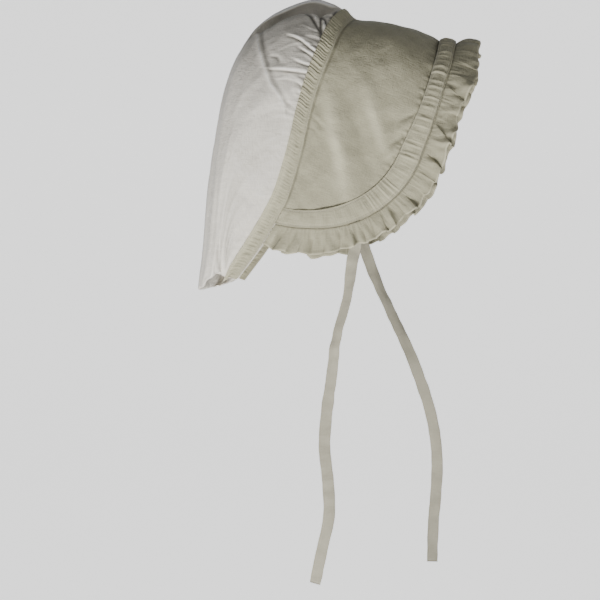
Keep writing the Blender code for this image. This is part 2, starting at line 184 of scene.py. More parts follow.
TOP_FOLD = (
    FoldPoint(-0.42, 0.00, 0.00),
    FoldPoint(-0.30, 0.00, 0.10),
    FoldPoint(-0.22, 0.00, 0.22),
    FoldPoint(-0.17, 0.10, 0.22),
    FoldPoint(-0.145, 0.42, 0.48),
    FoldPoint(-0.122, 0.95, 1.05),
    FoldPoint(-0.100, 1.25, 1.42),
    FoldPoint(-0.078, 1.05, 1.18),
    FoldPoint(-0.058, 0.40, 0.66),
    FoldPoint(-0.042, -0.30, 0.34),
    FoldPoint(-0.034, -0.62, 0.20),
    FoldPoint(-0.028, -0.60, 0.06),
    FoldPoint(-0.015, -0.35, -0.02),
    FoldPoint(0.00, -0.15, 0.00),
    FoldPoint(0.05, 0.00, 0.30),
    FoldPoint(0.14, 0.00, 0.70),
    FoldPoint(0.28, 0.00, 0.35),
    FoldPoint(0.40, 0.00, 0.00),
)


class SideFold(NamedTuple):
    """A soft gather fold that leaves the strip, as shares of the half hoop and the crown's depth."""

    place: float
    width: float
    reach: float
    drift: float
    height: float


SIDE_FOLDS = (
    SideFold(-0.22, 0.030, 0.70, 0.06, 1.0),
    SideFold(-0.28, 0.026, 0.60, 0.05, -0.9),
    SideFold(-0.34, 0.030, 0.75, 0.04, 1.2),
    SideFold(-0.40, 0.024, 0.45, 0.02, -0.8),
    SideFold(-0.45, 0.030, 0.80, 0.01, 0.9),
    SideFold(-0.52, 0.026, 0.35, 0.00, -0.8),
    SideFold(0.20, 0.032, 0.70, -0.05, 1.0),
    SideFold(0.27, 0.028, 0.60, -0.04, -0.9),
    SideFold(0.34, 0.030, 0.70, -0.03, 1.0),
    SideFold(0.42, 0.028, 0.55, -0.02, -0.7),
    SideFold(0.50, 0.030, 0.60, 0.00, 0.8),
)


class Ridge(NamedTuple):
    """A sharp fold line in the crown: its points (across, fall), width, height and hollow, in metres.

    height is negative for a groove, and hollow is the depth of the dip beside the ridge, positive
    on the side that lies to the left of the line as it runs.
    """

    points: tuple[tuple[float, float], ...]
    width: float
    height: float
    hollow: float


RIGHT_RIDGES = (
    Ridge(
        (
            (-0.065, 0.278),
            (-0.210, 0.249),
            (-0.279, 0.231),
            (-0.318, 0.218),
            (-0.369, 0.192),
            (-0.404, 0.170),
            (-0.446, 0.129),
            (-0.481, 0.093),
        ),
        0.0020,
        0.0022,
        0.0008,
    ),
    Ridge(((-0.486, 0.093), (-0.497, 0.148), (-0.500, 0.211), (-0.482, 0.297)), 0.0110, -0.0016, 0.0),
    Ridge(((-0.474, 0.060), (-0.470, 0.085), (-0.462, 0.110)), 0.0050, -0.0022, 0.0),
    Ridge(
        ((-0.250, 0.142), (-0.268, 0.111), (-0.282, 0.080), (-0.297, 0.050), (-0.300, 0.018)),
        0.0010,
        0.0022,
        -0.0016,
    ),
    Ridge(((-0.300, 0.092), (-0.313, 0.054), (-0.316, 0.015)), 0.0010, 0.0018, -0.0012),
    Ridge(((-0.342, 0.096), (-0.346, 0.064), (-0.339, 0.020)), 0.0010, 0.0017, -0.0011),
    Ridge(((-0.350, 0.186), (-0.373, 0.116), (-0.372, 0.064), (-0.360, 0.018)), 0.0010, 0.0022, -0.0013),
    Ridge(((-0.298, 0.190), (-0.319, 0.158), (-0.345, 0.140)), 0.0013, 0.0010, -0.0010),
    Ridge(((-0.398, 0.075), (-0.404, 0.045), (-0.396, 0.018)), 0.0010, 0.0014, -0.0008),
    Ridge(((-0.425, 0.055), (-0.430, 0.035), (-0.424, 0.016)), 0.0012, 0.0016, -0.0008),
    Ridge(((-0.150, 0.115), (-0.194, 0.074), (-0.249, 0.036)), 0.0022, -0.0042, 0.0),
    Ridge(((-0.110, 0.090), (-0.170, 0.056), (-0.214, 0.022)), 0.0018, -0.0052, 0.0),
    Ridge(((-0.150, 0.068), (-0.215, 0.048), (-0.247, 0.030)), 0.0015, -0.0040, 0.0),
    Ridge(((-0.100, 0.038), (-0.162, 0.030), (-0.197, 0.016)), 0.0016, -0.0028, 0.0),
    Ridge(((-0.160, 0.086), (-0.205, 0.062), (-0.256, 0.030)), 0.0014, 0.0022, 0.0),
    Ridge(((-0.130, 0.076), (-0.190, 0.050), (-0.232, 0.024)), 0.0014, 0.0024, 0.0),
    Ridge(((-0.515, 0.393), (-0.623, 0.276), (-0.688, 0.178)), 0.0150, 0.0010, 0.0008),
    Ridge(((-0.710, 0.249), (-0.752, 0.186), (-0.785, 0.135)), 0.0120, -0.0010, 0.0),
)
LEFT_RIDGES = (
    Ridge(
        ((0.06, 0.270), (0.20, 0.245), (0.31, 0.205), (0.41, 0.150), (0.49, 0.085)),
        0.0046,
        0.0034,
        -0.0020,
    ),
    Ridge(((0.16, 0.150), (0.19, 0.090), (0.21, 0.020)), 0.0024, 0.0028, 0.0016),
    Ridge(((0.23, 0.120), (0.25, 0.070), (0.26, 0.018)), 0.0022, 0.0026, 0.0014),
    Ridge(((0.27, 0.190), (0.30, 0.100), (0.31, 0.018)), 0.0026, 0.0028, 0.0016),
    Ridge(((0.35, 0.150), (0.365, 0.080), (0.36, 0.018)), 0.0024, 0.0024, 0.0014),
    Ridge(((0.12, 0.090), (0.15, 0.055), (0.165, 0.018)), 0.0022, -0.0030, 0.0),
    Ridge(((0.41, 0.110), (0.425, 0.060), (0.43, 0.020)), 0.0024, 0.0020, 0.0010),
    Ridge(((0.47, 0.085), (0.485, 0.150), (0.48, 0.250)), 0.0090, -0.0020, 0.0),
    Ridge(((0.52, 0.420), (0.62, 0.300), (0.70, 0.190)), 0.0110, 0.0018, 0.0010),
    Ridge(((0.68, 0.260), (0.75, 0.190), (0.80, 0.130)), 0.0090, -0.0018, 0.0),
)


class HemPoint(NamedTuple):
    """How far the right side hem is lifted at a fall, as a share of its greatest lift."""

    fall: float
    lift: float


SIDE_HEM = (
    HemPoint(0.00, 0.00),
    HemPoint(0.15, 0.06),
    HemPoint(0.40, 0.36),
    HemPoint(0.70, 0.78),
    HemPoint(0.88, 1.00),
    HemPoint(1.00, 1.00),
)


class SoftSpot(NamedTuple):
    """A place where soft cloth sinks in: its middle, spread (as shares) and depth in metres."""

    across: float
    fall: float
    width: float
    length: float
    depth: float


SOFT_SPOTS = (
    SoftSpot(-0.70, 0.53, 0.15, 0.16, 0.0105),
    SoftSpot(-0.86, 0.62, 0.09, 0.14, 0.0050),
    SoftSpot(0.70, 0.53, 0.15, 0.16, 0.0095),
    SoftSpot(0.86, 0.62, 0.09, 0.14, 0.0040),
)


class EdgePoint(NamedTuple):
    """How far the brim's edge lines leave their even curve, as shares of the band's width."""

    along: float
    brim: float
    root: float
    frill: float


EDGE_LINES = (
    EdgePoint(0.00, -0.17, -0.18, -0.03),
    EdgePoint(0.10, -0.10, -0.12, 0.10),
    EdgePoint(0.16, 0.05, -0.03, 0.26),
    EdgePoint(0.21, 0.16, 0.05, 0.36),
    EdgePoint(0.25, 0.17, 0.05, 0.04),
    EdgePoint(0.36, 0.12, 0.00, -0.16),
    EdgePoint(0.50, -0.15, -0.06, -0.22),
    EdgePoint(0.65, -0.32, -0.15, -0.32),
    EdgePoint(0.80, -0.38, -0.19, -0.18),
    EdgePoint(0.92, -0.22, -0.15, 0.05),
    EdgePoint(1.00, -0.05, 0.00, 0.00),
)


class BrimDent(NamedTuple):
    """A soft ridge or dent in the brim: its middle, its spread and its height, as shares."""

    along: float
    forward: float
    width: float
    length: float
    height: float


BRIM_DENTS = (
    BrimDent(-0.64, 0.34, 0.17, 0.26, 0.38),
    BrimDent(-0.48, 0.72, 0.16, 0.22, -0.26),
    BrimDent(-0.72, 0.75, 0.12, 0.20, 0.16),
    BrimDent(0.58, 0.45, 0.18, 0.30, 0.20),
    BrimDent(0.42, 0.70, 0.16, 0.22, -0.18),
)


class DragLine(NamedTuple):
    """A fine drag line in the brim: its ends (forward, along), in metres and shares, and height."""

    start: tuple[float, float]
    end: tuple[float, float]
    width: float
    height: float


DRAG_LINES = (
    DragLine((0.002, -0.462), (0.021, -0.487), 0.0020, 0.0005),
    DragLine((0.002, -0.474), (0.019, -0.500), 0.0018, -0.0005),
    DragLine((0.002, -0.490), (0.018, -0.517), 0.0020, 0.0005),
    DragLine((0.001, -0.344), (0.016, -0.341), 0.0018, 0.0006),
    DragLine((0.008, -0.385), (0.060, -0.670), 0.0085, 0.0042),
    DragLine((0.028, -0.370), (0.078, -0.600), 0.0085, -0.0024),
    DragLine((0.044, -0.345), (0.089, -0.514), 0.0075, 0.0034),
    DragLine((0.080, -0.400), (0.086, -0.560), 0.0065, -0.0016),
    DragLine((0.050, -0.120), (0.070, -0.300), 0.0120, 0.0013),
    DragLine((0.104, -0.355), (0.086, -0.410), 0.0022, -0.0016),
    DragLine((0.102, -0.385), (0.086, -0.440), 0.0022, 0.0010),
    DragLine((0.101, -0.425), (0.084, -0.485), 0.0024, -0.0017),
    DragLine((0.099, -0.470), (0.082, -0.525), 0.0022, 0.0010),
    DragLine((0.002, 0.450), (0.022, 0.478), 0.0020, 0.0005),
    DragLine((0.002, 0.466), (0.018, 0.492), 0.0018, -0.0005),
    DragLine((0.015, 0.400), (0.055, 0.640), 0.0070, 0.0013),
    DragLine((0.040, 0.380), (0.066, 0.560), 0.0070, -0.0011),
    DragLine((0.102, 0.390), (0.086, 0.440), 0.0024, -0.0010),
    DragLine((0.100, 0.440), (0.084, 0.492), 0.0022, 0.0008),
)


class TiePoint(NamedTuple):
    """A point of a tie's route from its sewn end, in metres, with the tape's twist in degrees."""

    forward: float
    left: float
    up: float
    twist: float


RIGHT_TIE = (
    TiePoint(0.0000, 0.000, 0.0000, 6.5),
    TiePoint(0.0007, 0.006, -0.0150, 5),
    TiePoint(0.0009, 0.010, -0.0287, 0),
    TiePoint(-0.0028, 0.010, -0.0459, 10),
    TiePoint(-0.0077, 0.008, -0.0829, 38),
    TiePoint(-0.0200, 0.009, -0.1273, 32),
    TiePoint(-0.0251, 0.012, -0.1692, 20),
    TiePoint(-0.0300, 0.013, -0.2061, 6),
    TiePoint(-0.0325, 0.012, -0.2433, -6),
    TiePoint(-0.0287, 0.010, -0.2803, -4),
    TiePoint(-0.0276, 0.010, -0.3174, 6),
    TiePoint(-0.0351, 0.012, -0.3544, 14),
    TiePoint(-0.0426, 0.016, -0.3911, 20),
)
LEFT_TIE = (
    TiePoint(0.0000, 0.000, 0.0000, -6.5),
    TiePoint(0.0035, -0.006, -0.0150, -5),
    TiePoint(0.0085, -0.010, -0.0320, -6),
    TiePoint(0.0190, -0.010, -0.0600, -24),
    TiePoint(0.0317, -0.008, -0.0880, -34),
    TiePoint(0.0446, -0.007, -0.1160, -28),
    TiePoint(0.0576, -0.008, -0.1445, -14),
    TiePoint(0.0690, -0.009, -0.1740, 0),
    TiePoint(0.0790, -0.010, -0.2040, 8),
    TiePoint(0.0858, -0.011, -0.2360, 8),
    TiePoint(0.0885, -0.011, -0.2690, 2),
    TiePoint(0.0870, -0.010, -0.3030, -8),
    TiePoint(0.0840, -0.010, -0.3370, -16),
    TiePoint(0.0830, -0.012, -0.3790, -22),
)


class Pleat(NamedTuple):
    """A pleat of the frill: its place as a share of the edge, strength, width, lean and slant."""

    place: float
    strength: float
    width: float
    lean: float
    slant: float = -0.12


RIGHT_PLEATS = (
    Pleat(-0.030, 0.8, 0.0036, 1),
    Pleat(-0.085, 0.9, 0.0040, -1),
    Pleat(-0.135, 0.8, 0.0034, 1),
    Pleat(-0.190, 1.0, 0.0038, -1),
    Pleat(-0.232, 0.7, 0.0032, 1),
    Pleat(-0.274, 1.3, 0.0038, 1, -0.45),
    Pleat(-0.322, 0.7, 0.0034, -1),
    Pleat(-0.374, 1.35, 0.0042, 1, -0.60),
    Pleat(-0.412, 0.7, 0.0030, -1),
    Pleat(-0.450, 1.35, 0.0042, 1, -0.50),
    Pleat(-0.500, 0.9, 0.0036, 1),
    Pleat(-0.545, 0.7, 0.0032, -1),
    Pleat(-0.580, 1.2, 0.0036, 1, -0.10),
    Pleat(-0.617, 0.7, 0.0030, -1),
    Pleat(-0.650, 0.6, 0.0028, 1),
    Pleat(-0.679, 1.2, 0.0034, 1),
    Pleat(-0.712, 0.6, 0.0028, -1),
    Pleat(-0.741, 0.8, 0.0032, -1),
    Pleat(-0.772, 0.6, 0.0028, 1),
    Pleat(-0.809, 1.3, 0.0036, -1),
    Pleat(-0.850, 0.7, 0.0030, 1),
    Pleat(-0.880, 1.3, 0.0034, -1),
    Pleat(-0.911, 0.6, 0.0028, 1),
    Pleat(-0.938, 1.1, 0.0030, 1),
    Pleat(-0.967, 0.9, 0.0028, -1),
)


def through(places: Array, values: Array, at: Array) -> Array:
    """A smooth curve through the points of a table: cubic Hermite pieces with averaged slopes.

    Args:
        places: The rising places of the table's points.
        values: The value at each place.
        at: Where the curve is wanted.

    Returns:
        The curve's value at each wanted place.
    """
    places, values, at = (np.asarray(x, float) for x in (places, values, at))
    slopes = np.gradient(values, places)
    at = np.clip(at, places[0], places[-1])
    i = np.clip(np.searchsorted(places, at, side="right") - 1, 0, len(places) - 2)
    span = places[i + 1] - places[i]
    t = (at - places[i]) / span
    return (
        values[i] * (2 * t**3 - 3 * t**2 + 1)
        + slopes[i] * span * (t**3 - 2 * t**2 + t)
        + values[i + 1] * (3 * t**2 - 2 * t**3)
        + slopes[i + 1] * span * (t**3 - t**2)
    )


def column(table: Sequence[NamedTuple], name: str) -> Array:
    """One named column of a table, as an array."""
    return np.array([getattr(row, name) for row in table], float)


def eased(value: Array, low: float, high: float) -> Array:
    """0 below low, 1 above high, and the smooth step 3t^2 - 2t^3 between."""
    t = np.clip((value - low) / (high - low), 0, 1)
    return t * t * (3 - 2 * t)


def bump(offset: Array, width: Array | float) -> Array:
    """The bell curve exp(-(offset / width)^2)."""
    return np.exp(-((offset / width) ** 2))


def soft_noise(u: Array, v: Array, wavelength: float, seed: int, waves: int = 26) -> Array:
    """Even, smooth noise: the mean of plane waves with seeded directions, lengths and phases.

    Args:
        u: First surface coordinate, in metres.
        v: Second surface coordinate, in metres.
        wavelength: The middle wavelength, in metres.
        seed: Seed of the waves.
        waves: How many waves are summed.

    Returns:
        Noise of about unit height at each point.
    """
    rng = np.random.default_rng(seed)
    turn = rng.uniform(0, 2 * math.pi, waves)
    pitch = 2 * math.pi / (wavelength * rng.uniform(0.6, 1.7, waves))
    phase = rng.uniform(0, 2 * math.pi, waves)
    total = np.zeros(np.broadcast(u, v).shape)
    for angle, rate, start in zip(turn, pitch, phase):
        total += np.sin(rate * (math.cos(angle) * u + math.sin(angle) * v) + start)
    return total * math.sqrt(2 / waves)


def normals_of(points: Array) -> Array:
    """Unit normals of a grid: the cross product of its two tangents, turned away from its middle.

    Args:
        points: A grid of points.

    Returns:
        The normal at each point.
    """
    down_rows, across_rows = np.gradient(points, axis=(0, 1))
    normals = np.cross(across_rows, down_rows)
    normals /= np.linalg.norm(normals, axis=-1, keepdims=True) + 1e-12
    middle = points.mean(axis=(0, 1))
    return normals if ((points - middle) * normals).sum() > 0 else -normals


def pushed_out(points: Array, distance: Array | float) -> Array:
    """The grid moved along its normals by a distance, one number or one for each point."""
    distance = np.broadcast_to(distance, points.shape[:2])
    return points + normals_of(points) * distance[..., None]


def blurred(grid: Array, window: int, axis: int) -> Array:
    """The running mean of a grid along an axis, with its edges repeated.

    Args:
        grid: The grid.
        window: How many places the mean is taken over, an odd number.
        axis: The axis that the window runs along.

    Returns:
        The blurred grid, as large as the first.
    """
    half = window // 2
    pad = [(half + 1, half) if k == axis else (0, 0) for k in range(grid.ndim)]
    total = np.cumsum(np.pad(grid, pad, mode="edge"), axis=axis)
    ahead = np.take(total, np.arange(window, total.shape[axis]), axis=axis)
    return (ahead - np.take(total, np.arange(total.shape[axis] - window), axis=axis)) / window


def cavity(lift: Array, rows: int, columns: int, depth: float, edges: float = 0.6) -> Array:
    """How far each point lies below its neighbours' mean height, as a share of a depth.

    Args:
        lift: Height at each point of a grid.
        rows: How many rows the mean is taken over.
        columns: How many columns it is taken over.
        depth: The depth that counts as 1.
        edges: The share of it that points above the mean get, as a negative number.

    Returns:
        A number from -edges to 1 for each point.
    """
    around = blurred(blurred(lift, rows, 0), columns, 1)
    below = (around - lift) / depth
    return np.clip(below, 0, 1) - edges * np.clip(-below, 0, 1)


def spaced(table: Sequence[Spacing], count: int, samples: int) -> Array:
    """Places that lie closer together where a table is denser: even steps of its running sum.

    Args:
        table: The density at each of a few places.
        count: How many steps the places make.
        samples: How many samples the running sum is taken from.

    Returns:
        The places, from the table's first to its last.
    """
    knots = column(table, "place")
    fine = np.linspace(knots[0], knots[-1], samples)
    grown = np.concatenate([[0], np.cumsum(np.interp(fine[1:], knots, column(table, "density")))])
    return np.interp(np.linspace(0, grown[-1], count + 1), grown, fine)


def run_lengths(line: Array) -> Array:
    """The distance along a polyline at each of its points: the running sum of its pieces."""
    return np.concatenate([[0], np.cumsum(np.linalg.norm(np.diff(line, axis=0), axis=1))])


def signed_power(value: Array, power: float) -> Array:
    """sign(v) |v|^p, which squares up a circle's sine and cosine where p is under 1."""
    return np.sign(value) * np.abs(value) ** power


def line_distance(points: Array, line: Array) -> tuple[Array, Array, Array]:
    """Each point's distance to a polyline, by projection on each of its pieces.

    Args:
        points: Points, with x, y, z last.
        line: The polyline's points.

    Returns:
        The distance, the share of the line's length at the nearest place, and the vector from there.
    """
    ends = np.linalg.norm(np.diff(line, axis=0), axis=1)
    before = np.concatenate([[0], np.cumsum(ends)])
    best = np.full(points.shape[:-1], FAR)
    along = np.zeros_like(best)
    away = np.zeros_like(points)
    for i, length in enumerate(ends):
        step = (line[i + 1] - line[i]) / length
        t = np.clip((points - line[i]) @ step, 0, length)
        offset = points - line[i] - t[..., None] * step
        distance = np.linalg.norm(offset, axis=-1)
        nearer = distance < best
        best = np.where(nearer, distance, best)
        along = np.where(nearer, (before[i] + t) / before[-1], along)
        away = np.where(nearer[..., None], offset, away)
    return best, along, away


@dataclass(frozen=True)
class Pattern:
    """The cut of the bonnet and the way it sits, which all its pieces follow."""

    forward_bow: float = math.radians(20)
    seat_depth: float = 0.004
    half_width: float = 0.092
    arch_height: float = 0.095
    arch_squareness: float = 2.25
    seam_drop: float = 0.310
    side_tuck: float = 0.023
    side_advance: float = 0.004
    seam_setback: float = 0.026
    free_hem_length: float = 0.045
    brim_depth: float = 0.101
    band_width: float = 0.0185
    frill_width: float = 0.0265
    brim_crest_draw: float = 0.006
    brim_rise: float = 0.012
    brim_flare: float = 0.008
    brim_corner_blunt: float = 0.008
    crown_depth: float = 0.107
    crown_drop: float = 0.336
    hoop_softness: float = 0.006
    lean_start: float = 0.02
    hem_corner_back: float = 0.042
    hem_corner_drop: float = 0.327
    nape_half_width: float = 0.060
    strip_width: float = 0.0170
    strip_over_brim: float = 0.006
    crown_cloth: float = 0.0012
    brim_cloth: float = 0.0022
    strip_cloth: float = 0.0010
    band_cloth: float = 0.0010
    frill_cloth: float = 0.0010
    gap: float = 0.0004
    joint_gap: float = 0.0008

    @property
    def full_reach(self) -> float:
        """The cloth's reach from the seam to the frill's edge."""
        return self.brim_depth + self.band_width + self.frill_width

    @property
    def seam_half_length(self) -> float:
        """The length of one side of the seam, from the top to the hem corner."""
        return self.seam_hoop(np.ones(1))[2]

    @property
    def corner_start(self) -> float:
        """How far down the seam the brim's rounded front corner starts."""
        return self.seam_half_length - self.free_hem_length - self.full_reach

    def world(self, points: Array) -> Array:
        """Points turned about the y axis by the bow.

        Args:
            points: Points of the upright frame.

        Returns:
            The same points in the world frame.
        """
        x, y, z = points[..., 0], points[..., 1], points[..., 2]
        c, s = math.cos(self.forward_bow), math.sin(self.forward_bow)
        return np.stack([x * c + z * s, y, z * c - x * s], axis=-1)

    def hoop_half(
        self, half_width: float, arch_height: float, straight: float, tuck: float, shares: Array
    ) -> tuple[Array, Array, float]:
        """One side of a hoop: a quarter superellipse over the top, then a side that leans in.

        Args:
            half_width: Half the hoop's width.
            arch_height: Height of the curved part.
            straight: Height of the side below it.
            tuck: How far the side leans in at its foot: about the 1.6th power of the way down,
                with a soft start.
            shares: Places along the side, as shares of its length.

        Returns:
            The distance across and down at each place, and the side's length.
        """
        angle = np.linspace(0, math.pi / 2, ARCH_STEPS + 1)
        power = 2 / self.arch_squareness
        below = np.linspace(0, 1, SIDE_STEPS + 1)[1:]
        leaned = below**2 / (below**2 + self.lean_start) ** 0.2 * (1 + self.lean_start) ** 0.2
        across = np.concatenate([half_width * np.sin(angle) ** power, half_width - tuck * leaned])
        down = np.concatenate([arch_height * (1 - np.cos(angle) ** power), arch_height + straight * below])
        along = np.concatenate([[0], np.cumsum(np.hypot(np.diff(across), np.diff(down)))])
        even = np.linspace(0, along[-1], HOOP_STEPS + 1)
        across, down = np.interp(even, along, across), np.interp(even, along, down)
        # The whole hoop is blurred, so that its top stays level, and its foot is kept as it was.
        window = 2 * int(self.hoop_softness / along[-1] * HOOP_STEPS) + 1
        both_across = np.concatenate([-across[:0:-1], across])
        both_down = np.concatenate([down[:0:-1], down])
        curve = np.stack([both_across, both_down], axis=1)
        soft = blurred(blurred(curve, window, 0), window, 0)[HOOP_STEPS:]
        kept = eased(even, along[-1] - 0.030, along[-1] - 0.008)[:, None]
        soft = soft + (curve[HOOP_STEPS:] - soft) * kept
        at = np.abs(shares) * along[-1]
        return np.interp(at, even, soft[:, 0]), np.interp(at, even, soft[:, 1]), float(along[-1])

    def seam_hoop(self, shares: Array) -> tuple[Array, Array, float]:
        """One side of the seam's own hoop, at signed shares of its length, as hoop_half gives it."""
        straight = self.seam_drop - self.arch_height
        return self.hoop_half(self.half_width, self.arch_height, straight, self.side_tuck, shares)

    def brim_sheet(self, forward: Array, along: Array) -> Array:
        """The surface that brim, band and frill follow: the seam's hoop carried forward.

        Each point takes the hoop's place at its distance along, moved forward from the seam line,
        which straightens as it goes, with the crest's rise, the side's flare and the soft dents.

        Args:
            forward: Distance in front of the seam, along the cloth.
            along: Signed distance from the top, along the cloth.

        Returns:
            Points of the upright frame.
        """
        length = self.seam_half_length
        across, down, _ = self.seam_hoop(along / length)
        ahead = forward / self.full_reach
        seam = self.seam_setback * through(
            column(SEAM_LINE, "drop") * self.seam_drop, column(SEAM_LINE, "setback"), down
        )
        crest = 1 - eased(down, 0, 1.1 * self.arch_height)
        rise = self.brim_rise * through(column(BRIM_CREST, "forward"), column(BRIM_CREST, "rise"), ahead)
        setback = seam * (1 - np.clip(ahead, 0, 1)) - self.side_advance * eased(down, 0, self.arch_height)
        setback = setback + self.brim_crest_draw * crest * ahead**2
        flare = self.brim_flare * np.clip(forward / self.brim_depth, 0, 1.5)
        width = across / self.half_width * (self.half_width + flare)
        bulge = np.zeros(np.broadcast(forward, along).shape)
        for dent in BRIM_DENTS:
            side = (along / length - dent.along) / dent.width
            ahead_of = (forward / self.brim_depth - dent.forward) / dent.length
            bulge = bulge + self.brim_rise * dent.height * np.exp(-(side**2) - ahead_of**2)
        left = np.sign(along) * (width + bulge * (1 - crest))
        up = self.seat_depth - down + (rise + bulge) * crest
        return np.stack(np.broadcast_arrays(forward - setback, left, up), axis=-1)

    def edge_line(self, reach: Array, shares: Array) -> tuple[Array, Array]:
        """The line that lies reach in front of the seam: straight, then a quarter turn to the seam.

        Args:
            reach: Reach of each row, as a column.
            shares: Signed shares of the line's length, one for each column or for each point.

        Returns:
            The forward and along distances of each point.
        """
        corner = reach * math.pi / 2
        at = np.abs(shares) * (self.corner_start + corner)
        turn = np.clip(at - self.corner_start, 0, corner) / reach
        lines = (0, self.brim_depth, self.brim_depth + self.band_width, self.full_reach)
        moved = np.zeros_like(at)
        for name, near_line in zip(("brim", "root", "frill"), np.eye(4)[1:]):
            trim = through(column(EDGE_LINES, "along"), column(EDGE_LINES, name), np.abs(shares))
            moved = moved + self.band_width * np.interp(reach, lines, near_line) * trim
        reach = reach + moved
        down = np.minimum(at, self.corner_start) + reach * np.sin(turn)
        return reach * np.cos(turn), np.sign(shares) * down

    def square_shares(self, reach: Array, shares: Array, middle: float) -> Array:
        """Shares that keep each column square to the edge lines, as it is at the middle reach.

        On the straight part the distance along stays the same, and round the corner the angle does.

        Args:
            reach: Reach of each row, as a column.
            shares: Signed shares of the middle line.
            middle: Reach of the middle line.

        Returns:
            The share of its own line for each point.
        """
        at = np.abs(shares) * (self.corner_start + middle * math.pi / 2)
        turn = np.clip(at - self.corner_start, 0, None) / middle
        own = np.minimum(at, self.corner_start) + turn * reach
        return np.sign(shares) * own / (self.corner_start + reach * math.pi / 2)

    def edge_strip(self, reaches: Array, shares: Array) -> Array:
        """The brim surface along edge lines, which stop just short of the seam."""
        forward, along = self.edge_line(np.asarray(reaches, float), shares)
        return self.brim_sheet(np.maximum(forward, self.joint_gap), along)

    def plain_hoop(self, fall: float, shares: Array) -> Array:
        """A hoop of the crown's table, from hem corner over its crest to hem corner.

        Its plane runs from the crest to a foot that goes from the seam's end to the hem's corner.

        Args:
            fall: How far the hoop is from the seam, 0, to the nape, 1.
            shares: Signed shares of its half length.

        Returns:
            Points of the upright frame.
        """
        falls = column(CROWN_HOOPS, "fall")
        names = ("back", "drop", "width", "arched")
        back, drop, width, arched = (
            float(through(falls, column(CROWN_HOOPS, name), fall)) for name in names
        )
        crest = np.array([-back * self.crown_depth, -drop * self.crown_drop])
        behind = self.strip_over_brim + self.joint_gap
        seam_end = np.array([-self.seam_setback * SEAM_LINE[-1].setback - behind, -self.seam_drop])
        hem_end = np.array([-self.hem_corner_back - behind, -self.hem_corner_drop])
        end = seam_end + (hem_end - seam_end) * fall
        height = float(np.linalg.norm(crest - end))
        half, seam_half = self.half_width * width, self.half_width - self.side_tuck
        end_half = seam_half + (self.nape_half_width - seam_half) * fall
        arch, straight = height * arched, height * (1 - arched)
        across, down, _ = self.hoop_half(half, arch, straight, half - end_half, shares)
        place = crest + (end - crest) * (down / height)[:, None]
        forward = place[:, 0] + self.side_advance * eased(down, 0, self.arch_height)
        return np.stack([forward, np.sign(shares) * across, place[:, 1] + self.seat_depth], axis=-1)

    def crown_sheet(self, falls: Array, shares: Array) -> Array:
        """The crown without its folds: hoops that ease away from the brim's back edge.

        Args:
            falls: The fall of each row.
            shares: The signed share of each column.

        Returns:
            Points of the upright frame, a row for each fall.
        """
        behind = np.full(len(shares), -self.strip_over_brim - self.joint_gap)
        edge = self.brim_sheet(behind, shares * self.seam_half_length)
        to_edge = edge - self.plain_hoop(0, shares)
        ease = 1 - eased(falls, 0, 0.25)
        return np.array([self.plain_hoop(fall, shares) + to_edge * k for fall, k in zip(falls, ease)])


@dataclass(frozen=True)
class NodeNet:
    """A material's nodes, with short ways to add a sum, a noise or a blend."""

    tree: bpy.types.NodeTree

    def math(self, operation: str, first: Socket, second: Socket | float, clamped: bool = False) -> Socket:
        """A math node.

        Args:
            operation: What it does with its two values.
            first: Its first value.
            second: Its second value.
            clamped: Whether the result is held between 0 and 1.

        Returns:
            The result.
        """
        node = self.tree.nodes.new("ShaderNodeMath")
        node.operation = operation
        node.use_clamp = clamped
        self.tree.links.new(first, node.inputs[0])
        if isinstance(second, (int, float)):
            node.inputs[1].default_value = second
        else:
            self.tree.links.new(second, node.inputs[1])
        return node.outputs[0]

    def noise(self, place: Socket, rate: tuple[float, float, float], detail: float) -> Socket:
        """Noise at a place, with its own rate in each direction.

        Args:
            place: The place, in metres.
            rate: Cycles a metre along x, y and z.
            detail: Detail of the noise.

        Returns:
            The noise, 0.5 on average.
        """
        mapping = self.tree.nodes.new("ShaderNodeMapping")
        mapping.inputs["Scale"].default_value = rate
        noise = self.tree.nodes.new("ShaderNodeTexNoise")
        noise.inputs["Scale"].default_value = 1.0
        noise.inputs["Detail"].default_value = detail
        self.tree.links.new(place, mapping.inputs["Vector"])
        self.tree.links.new(mapping.outputs["Vector"], noise.inputs["Vector"])
        return noise.outputs["Fac"]

    def blend(self, factor: Socket, first: Socket | Colour, second: Colour) -> Socket:
        """A colour that goes from the first to the second as the factor goes from 0 to 1.

        Args:
            factor: How much of the second colour there is.
            first: The first colour.
            second: The second colour.

        Returns:
            The blended colour.
        """
        node = self.tree.nodes.new("ShaderNodeMix")
        node.data_type = "RGBA"
        node.inputs["B"].default_value = (*second, 1)
        self.tree.links.new(factor, node.inputs["Factor"])
        if isinstance(first, tuple):
            node.inputs["A"].default_value = (*first, 1)
        else:
            self.tree.links.new(first, node.inputs["A"])
        return node.outputs["Result"]


